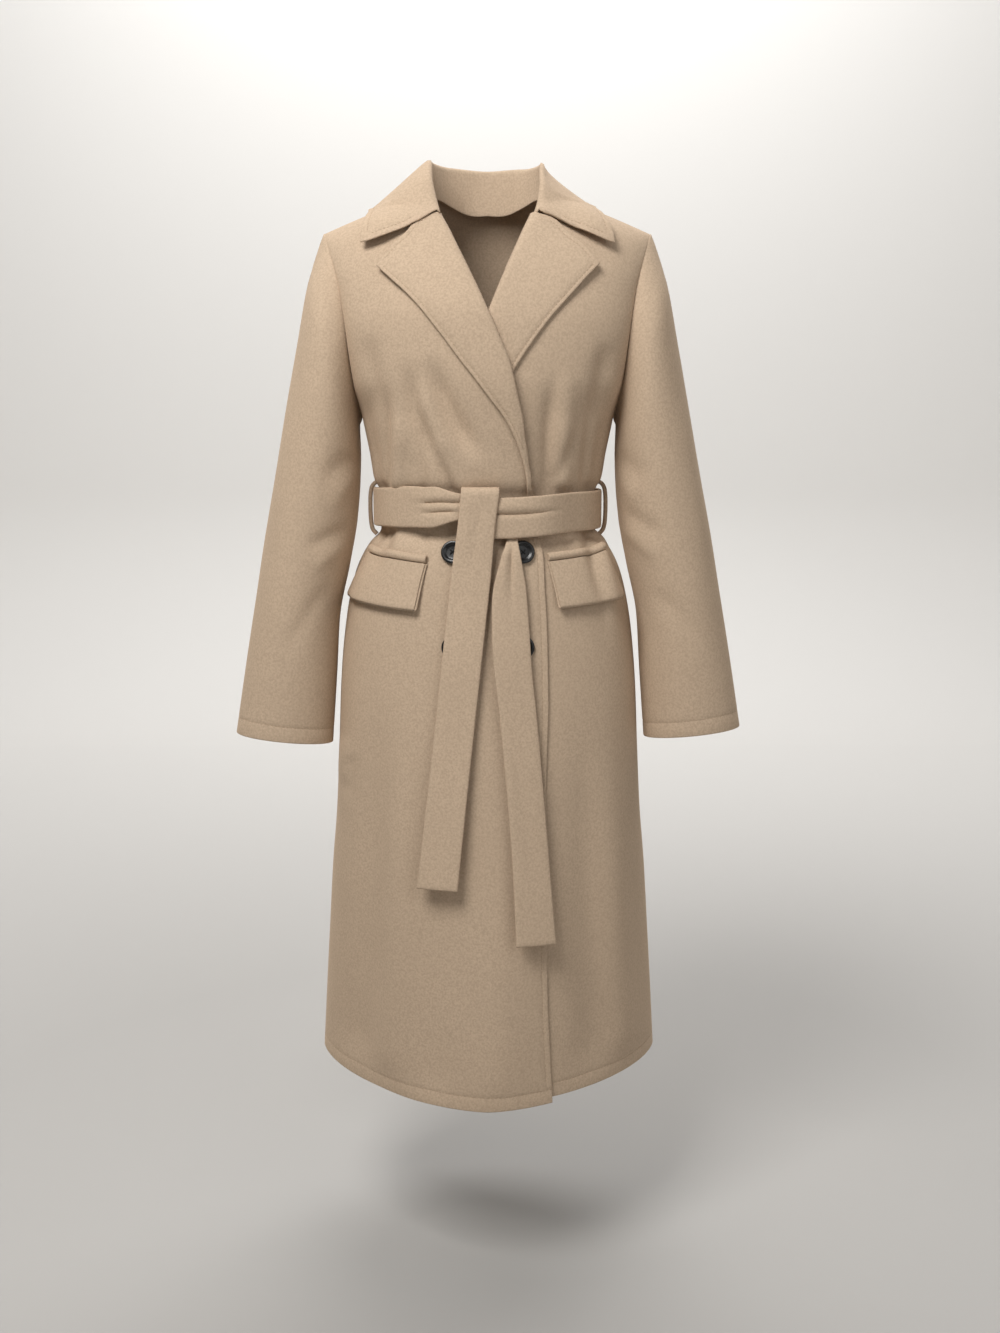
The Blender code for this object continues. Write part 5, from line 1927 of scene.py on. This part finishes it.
# Creases of the two ends, across from the middle and in height.
END_OVER_CREASES = (
    Crease((0.004, -0.338), (-0.002, -0.450), -0.0010, 0.0040, 0.0, 0.2, 0.7),
    Crease((-0.012, -0.338), (-0.009, -0.420), 0.0010, 0.0050, 0.0, 0.2, 0.7),
    Crease((0.010, -0.520), (0.002, -0.800), -0.0010, 0.0090),
)
END_UNDER_CREASES = (
    Crease((0.000, -0.398), (0.003, -0.490), -0.0026, 0.0032, 0.0, 0.1, 0.7),
    Crease((-0.006, -0.398), (-0.010, -0.475), 0.0016, 0.0040, 0.0, 0.1, 0.7),
    Crease((-0.008, -0.560), (0.004, -0.860), -0.0010, 0.0090),
)


@dataclass
class BeltEnd:
    """Hanging belt end, a strip along its own table."""

    name: str
    rows: tuple[EndRow, ...]
    creases: tuple[Crease, ...]
    rests_on: tuple[str, ...] = ("belt_band_cloth", "front_right_cloth")
    wall: float = 0.0036
    wrap: float = 2.1
    crease_from: tuple[float, float] = (0.2, 0.3)
    step: tuple[float, float] = (0.0030, 0.0040)
    probes: int = 301

    def place(self, u: Array, v: Array) -> Array:
        """Points of the wall's middle.

        Args:
            u: Places across, from 0 to 1.
            v: Places along, from 0 to 1.

        Returns:
            One point for each place.
        """
        middle, y, z, half = (read_table(self.rows, name, v) for name in ("x", "y", "z", "half"))
        x = middle + (2.0 * u - 1.0) * half
        y = y + self.wrap * (x * x - middle * middle)
        for crease in self.creases:
            y = y - crease.height(x - middle, z) * smooth(v, *self.crease_from)
        return np.stack([x, y, z], axis=-1)

    def build(self) -> None:
        """Make the end."""
        cloth = Cloth(self.name + "_cloth", self.place, self.step, self.wall, flip=True, probes=self.probes)
        sew(cloth, self.name)


@dataclass
class BeltLoop:
    """Narrow loop at a side seam that the belt runs through, a flattened tube of cloth."""

    hand: Hand
    width: float = 0.0078
    thick: float = 0.0052
    wall: float = 0.0012
    groove: float = 0.0004
    groove_width: float = 0.0006
    square: float = 0.6
    look: float = 0.01
    step: tuple[float, float] = (0.0006, 0.0024)
    path: tuple[tuple[float, float], ...] = (
        (0.1350, -0.3292), (0.1412, -0.3322), (0.1452, -0.3385), (0.1467, -0.3505),
        (0.1469, -0.3640), (0.1464, -0.3775), (0.1446, -0.3885), (0.1392, -0.3955),
    )

    def route(self, v: Array) -> Array:
        """Places x, z on the left loop's path."""
        knots = np.linspace(0.0, 1.0, len(self.path))
        return np.stack([curve(knots, values, v) for values in zip(*self.path)], axis=-1)

    def place(self, u: Array, v: Array) -> Array:
        """Points of the wall's middle.

        Args:
            u: Places across, from 0 to 1.
            v: Places along, from 0 to 1.

        Returns:
            One point for each place.
        """
        middle = self.route(v)
        way = unit(self.route(np.minimum(v + self.look, 1.0)) - self.route(np.maximum(v - self.look, 0.0)))
        across, above = np.cos(2.0 * math.pi * u), np.sin(2.0 * math.pi * u)
        y = 0.5 * (self.width - self.wall) * np.sign(across) * np.abs(across) ** self.square
        off = 0.5 * (self.thick - self.wall) * np.sign(above) * np.abs(above) ** self.square
        off = off - self.groove * np.exp(-((y / self.groove_width) ** 2)) * (above > 0.0)
        x, z = middle[:, 0] - off * way[:, 1], middle[:, 1] + off * way[:, 0]
        return np.stack([self.hand.value * x, y, z], axis=-1)

    def build(self) -> None:
        """Make the loop."""
        node = "belt_loop_" + self.hand.word
        cloth = Cloth(node + "_cloth", self.place, self.step, self.wall, ring=True)
        cloth.flip = self.hand is Hand.RIGHT
        sew(cloth, node)


@dataclass
class Button:
    """Turned and dished button with four holes, sewn on with crossed thread."""

    name: str
    x: float
    z: float
    seat: float = 0.0002
    steps: int = 64
    hole_at: float = 0.0021
    hole_radius: float = 0.00085
    hole_sides: int = 20
    drill_length: float = 0.008
    drill_z: float = 0.001
    sharp: float = 35.0
    thread_radius: float = 0.0003
    thread_sides: int = 8
    thread_stations: int = 15
    thread_shift: float = 0.00028
    thread_arch: float = 0.00055
    thread_cross: float = 0.0005
    thread_sink: float = 0.0020
    thread_sink_from: float = 0.90
    profile: tuple[tuple[float, float], ...] = (
        (0.0, 0.0024), (0.0066, 0.0024), (0.0078, 0.0025), (0.0086, 0.0029),
        (0.0094, 0.0034), (0.0103, 0.0038), (0.0113, 0.00395), (0.0123, 0.0039),
        (0.0132, 0.0036), (0.0137, 0.0031), (0.0139, 0.0025), (0.0138, 0.0018),
        (0.0133, 0.0012), (0.0122, 0.0007), (0.0105, 0.0002), (0.0095, 0.0),
        (0.0, 0.0),
    )

    def frame(self) -> Matrix:
        """Where the button sits on the right front.

        Returns:
            Its place and direction.
        """
        s, w = BODY.on_front(self.x, self.z)
        seat = BODY.front(Hand.RIGHT, s, w, WALL + self.seat)
        turn = Vector(BODY.outward(Side.FRONT, s, w)).to_track_quat("Z", "Y").to_matrix().to_4x4()
        return Matrix.Translation(Vector(seat)) @ turn

    def turned(self) -> bpy.types.Object:
        """Turn the profile round the button's middle.

        Returns:
            The new object, without holes.
        """
        turn = np.linspace(0.0, 2.0 * math.pi, self.steps, endpoint=False)
        points, faces = [(0.0, 0.0, self.profile[0][1])], []
        for radius, height in self.profile[1:-1]:
            points += [(radius * math.cos(angle), radius * math.sin(angle), height) for angle in turn]
        points.append((0.0, 0.0, self.profile[-1][1]))
        first = [1 + ring * self.steps for ring in range(len(self.profile) - 2)]
        for k in range(self.steps):
            after = (k + 1) % self.steps
            faces.append((0, 1 + k, 1 + after))
            for low, high in zip(first, first[1:]):
                faces.append((low + k, high + k, high + after, low + after))
            faces.append((first[-1] + after, first[-1] + k, len(points) - 1))
        return mesh_object(self.name + "_disc", np.array(points), faces)

    def drills(self) -> bpy.types.Object:
        """Four rods that cut the holes.

        Returns:
            The new object.
        """
        rods = bmesh.new()
        for sx in (-1.0, 1.0):
            for sy in (-1.0, 1.0):
                bmesh.ops.create_cone(
                    rods,
                    cap_ends=True,
                    segments=self.hole_sides,
                    radius1=self.hole_radius,
                    radius2=self.hole_radius,
                    depth=self.drill_length,
                    matrix=Matrix.Translation((sx * self.hole_at, sy * self.hole_at, self.drill_z)),
                )
        mesh = bpy.data.meshes.new("drills")
        rods.to_mesh(mesh)
        rods.free()
        made = bpy.data.objects.new("drills", mesh)
        bpy.context.scene.collection.objects.link(made)
        return made

    def disc(self) -> bpy.types.Object:
        """The turned disc with its holes bored through.

        Returns:
            The new object.
        """
        made, drills = self.turned(), self.drills()
        bore = made.modifiers.new("holes", "BOOLEAN")
        bore.object = drills
        bore.operation = "DIFFERENCE"
        bore.solver = "EXACT"
        made.data = bpy.data.meshes.new_from_object(made.evaluated_get(bpy.context.evaluated_depsgraph_get()))
        made.modifiers.clear()
        rods = drills.data
        bpy.data.objects.remove(drills, do_unlink=True)
        bpy.data.meshes.remove(rods)
        made.data.shade_smooth()
        made.data.set_sharp_from_angle(angle=math.radians(self.sharp))
        return made

    def thread(self) -> bpy.types.Object:
        """Two crossed bundles of thread through the holes.

        Returns:
            The new object.
        """
        points, faces = [], []
        turn = np.linspace(0.0, 2.0 * math.pi, self.thread_sides, endpoint=False)
        t = np.linspace(-1.0, 1.0, self.thread_stations)
        sunk = self.thread_sink * smooth(np.abs(t), self.thread_sink_from, 1.0)
        for sign, rise in ((1.0, 0.0), (-1.0, self.thread_cross)):
            up = self.profile[0][1] + (self.thread_arch + rise) * (1.0 - t**4) - sunk
            for shift in (-self.thread_shift, self.thread_shift):
                spine = np.stack([t * self.hole_at - sign * shift, sign * t * self.hole_at + shift, up], -1)
                way = unit(np.gradient(spine, axis=0))
                side = unit(np.cross(way, (0.0, 0.0, 1.0)))
                over = np.cross(side, way)
                ring = side[:, None] * np.cos(turn)[:, None] + over[:, None] * np.sin(turn)[:, None]
                made = spine[:, None] + self.thread_radius * ring
                index = len(points) + np.arange(made[..., 0].size).reshape(made.shape[:2])
                points += made.reshape(-1, 3).tolist()
                faces += tube_faces(index[None])
        return mesh_object(self.name + "_thread", np.array(points), faces)

    def build(self) -> None:
        """Make the button and its thread."""
        at = self.frame()
        for piece, finish in ((self.disc(), HORN), (self.thread(), BLACK_THREAD)):
            piece.data.transform(at)
            dress(piece, self.name, finish)


@dataclass(frozen=True)
class PaperFinish:
    """Pale matt studio paper."""

    name: str
    near: tuple[float, float, float]
    far: tuple[float, float, float]
    reach: tuple[float, float]
    roughness: float = 0.85
    specular: float = 0.15

    def make(self) -> bpy.types.Material:
        """The material: one tone underfoot, a paler one further off.

        Returns:
            The material.
        """
        made, make, shader = blank_material(self.name, self.near)
        place = make.add("TexCoord").outputs["Object"]
        away = make.add("VectorMath", operation="LENGTH", Vector=place)
        share = make.spread(away.outputs["Value"], *self.reach)
        colour = make.blend(share, (*self.near, 1.0), (*self.far, 1.0))
        make.feed(shader.inputs["Base Color"], colour)
        shader.inputs["Roughness"].default_value = self.roughness
        shader.inputs["Specular IOR Level"].default_value = self.specular
        return made


@dataclass(frozen=True)
class Lamp:
    """A square soft light and the point that it is turned to."""

    name: str
    at: tuple[float, float, float]
    aim: tuple[float, float, float]
    size: float
    power: float
    colour: tuple[float, float, float] = (1.0, 1.0, 1.0)

    def build(self) -> None:
        """Put the light in the scene."""
        light = bpy.data.lights.new(self.name, "AREA")
        light.shape = "SQUARE"
        light.size = self.size
        light.energy = self.power
        light.color = self.colour
        made = bpy.data.objects.new(self.name, light)
        made.location = self.at
        made.visible_camera = False
        made.rotation_euler = (Vector(self.aim) - Vector(self.at)).to_track_quat("-Z", "Y").to_euler()
        bpy.context.scene.collection.objects.link(made)


LAMPS = (
    Lamp("key", (-0.80, -1.35, 1.36), (0.0, 0.0, -0.45), 1.0, 53.0, (1.0, 0.99, 0.97)),
    Lamp("fill", (1.5, -1.9, 0.4), (0.0, 0.0, -0.45), 1.6, 11.0),
    Lamp("rear_right", (-1.5, 1.1, 0.9), (0.0, 0.0, -0.4), 1.0, 6.0),
    Lamp("rear_left", (1.2, 1.3, 1.2), (0.0, 0.0, -0.4), 1.0, 14.0),
    Lamp("wall", (0.0, 1.9, 2.7), (0.0, 3.6, 0.1), 2.4, 108.0),
)


@dataclass
class Stage:
    """Pale floor that curves up into a backdrop, soft lights, and the camera of the picture."""

    floor_z: float = -1.32
    wall_y: float = 3.6
    bend: float = 0.8
    bend_steps: int = 25
    front_y: float = -7.0
    wall_top: float = 4.0
    half_width: float = 12.0
    floor: tuple[float, float, float] = (0.44, 0.428, 0.413)
    wall: tuple[float, float, float] = (0.90, 0.885, 0.862)
    paling: tuple[float, float] = (1.6, 4.4)
    sky: tuple[float, float, float] = (1.0, 0.96, 0.90)
    sky_strength: float = 0.185
    camera_at: tuple[float, float, float] = (0.0, -1.75, -0.256)
    camera_turn: tuple[float, float, float] = (80.0, 0.0, -0.49)
    focal_pixels: float = 1393.0
    height_pixels: float = 1333.0
    sensor: float = 36.0

    def sweep(self) -> None:
        """Floor and backdrop in one sheet."""
        turn = np.radians(np.linspace(0.0, 90.0, self.bend_steps))
        y = self.wall_y - self.bend + self.bend * np.sin(turn)
        z = self.floor_z + self.bend - self.bend * np.cos(turn)
        profile = [(self.front_y, self.floor_z), *zip(y.tolist(), z.tolist()), (self.wall_y, self.wall_top)]
        points = [(side * self.half_width, y, z) for y, z in profile for side in (-1.0, 1.0)]
        faces = [(2 * k, 2 * k + 1, 2 * k + 3, 2 * k + 2) for k in range(len(profile) - 1)]
        made = mesh_object("backdrop", np.array(points), faces)
        made.data.materials.append(PaperFinish("paper", self.floor, self.wall, self.paling).make())

    def light(self) -> None:
        """Lamps and the light all round."""
        for lamp in LAMPS:
            lamp.build()
        world = bpy.data.worlds.new("studio")
        world.use_nodes = True
        glow = world.node_tree.nodes["Background"]
        glow.inputs["Color"].default_value = (*self.sky, 1.0)
        glow.inputs["Strength"].default_value = self.sky_strength
        bpy.context.scene.world = world
        bpy.context.scene.view_settings.view_transform = "Standard"

    def camera(self) -> None:
        """Camera where the picture was taken from."""
        lens = bpy.data.cameras.new("camera")
        lens.sensor_fit = "VERTICAL"
        lens.sensor_height = self.sensor
        lens.lens = self.focal_pixels / self.height_pixels * self.sensor
        made = bpy.data.objects.new("camera", lens)
        made.location = self.camera_at
        made.rotation_euler = Euler([math.radians(angle) for angle in self.camera_turn])
        bpy.context.scene.collection.objects.link(made)
        bpy.context.scene.camera = made

    def build(self) -> None:
        """Set the stage."""
        self.sweep()
        self.light()
        self.camera()


# Where the buttons' middles are seen from the front: heights of the rows, places across.
BUTTON_ROWS = (-0.4105, -0.5200)
BUTTON_COLUMNS = (-0.0405, 0.0400)


def main() -> None:
    """Build the coat piece by piece, then the stage round it."""
    logging.basicConfig(level=logging.INFO, format="%(message)s")
    for hand in Hand:
        FrontPanel(hand).build()
    BackPanel().build()
    for hand in Hand:
        Sleeve(hand).build()
        Lapel(hand).build()
        Pocket(hand).build()
        BeltLoop(hand).build()
    Collar().build()
    BeltBand().build()
    BeltEnd("belt_end_over", END_OVER, END_OVER_CREASES).build()
    BeltEnd("belt_end_under", END_UNDER, END_UNDER_CREASES).build()
    places = [(x, z) for z in BUTTON_ROWS for x in BUTTON_COLUMNS]
    for number, (x, z) in enumerate(places, 1):
        Button(f"button_{number}", x, z).build()
    Stage().build()


if __name__ == "__main__":
    main()
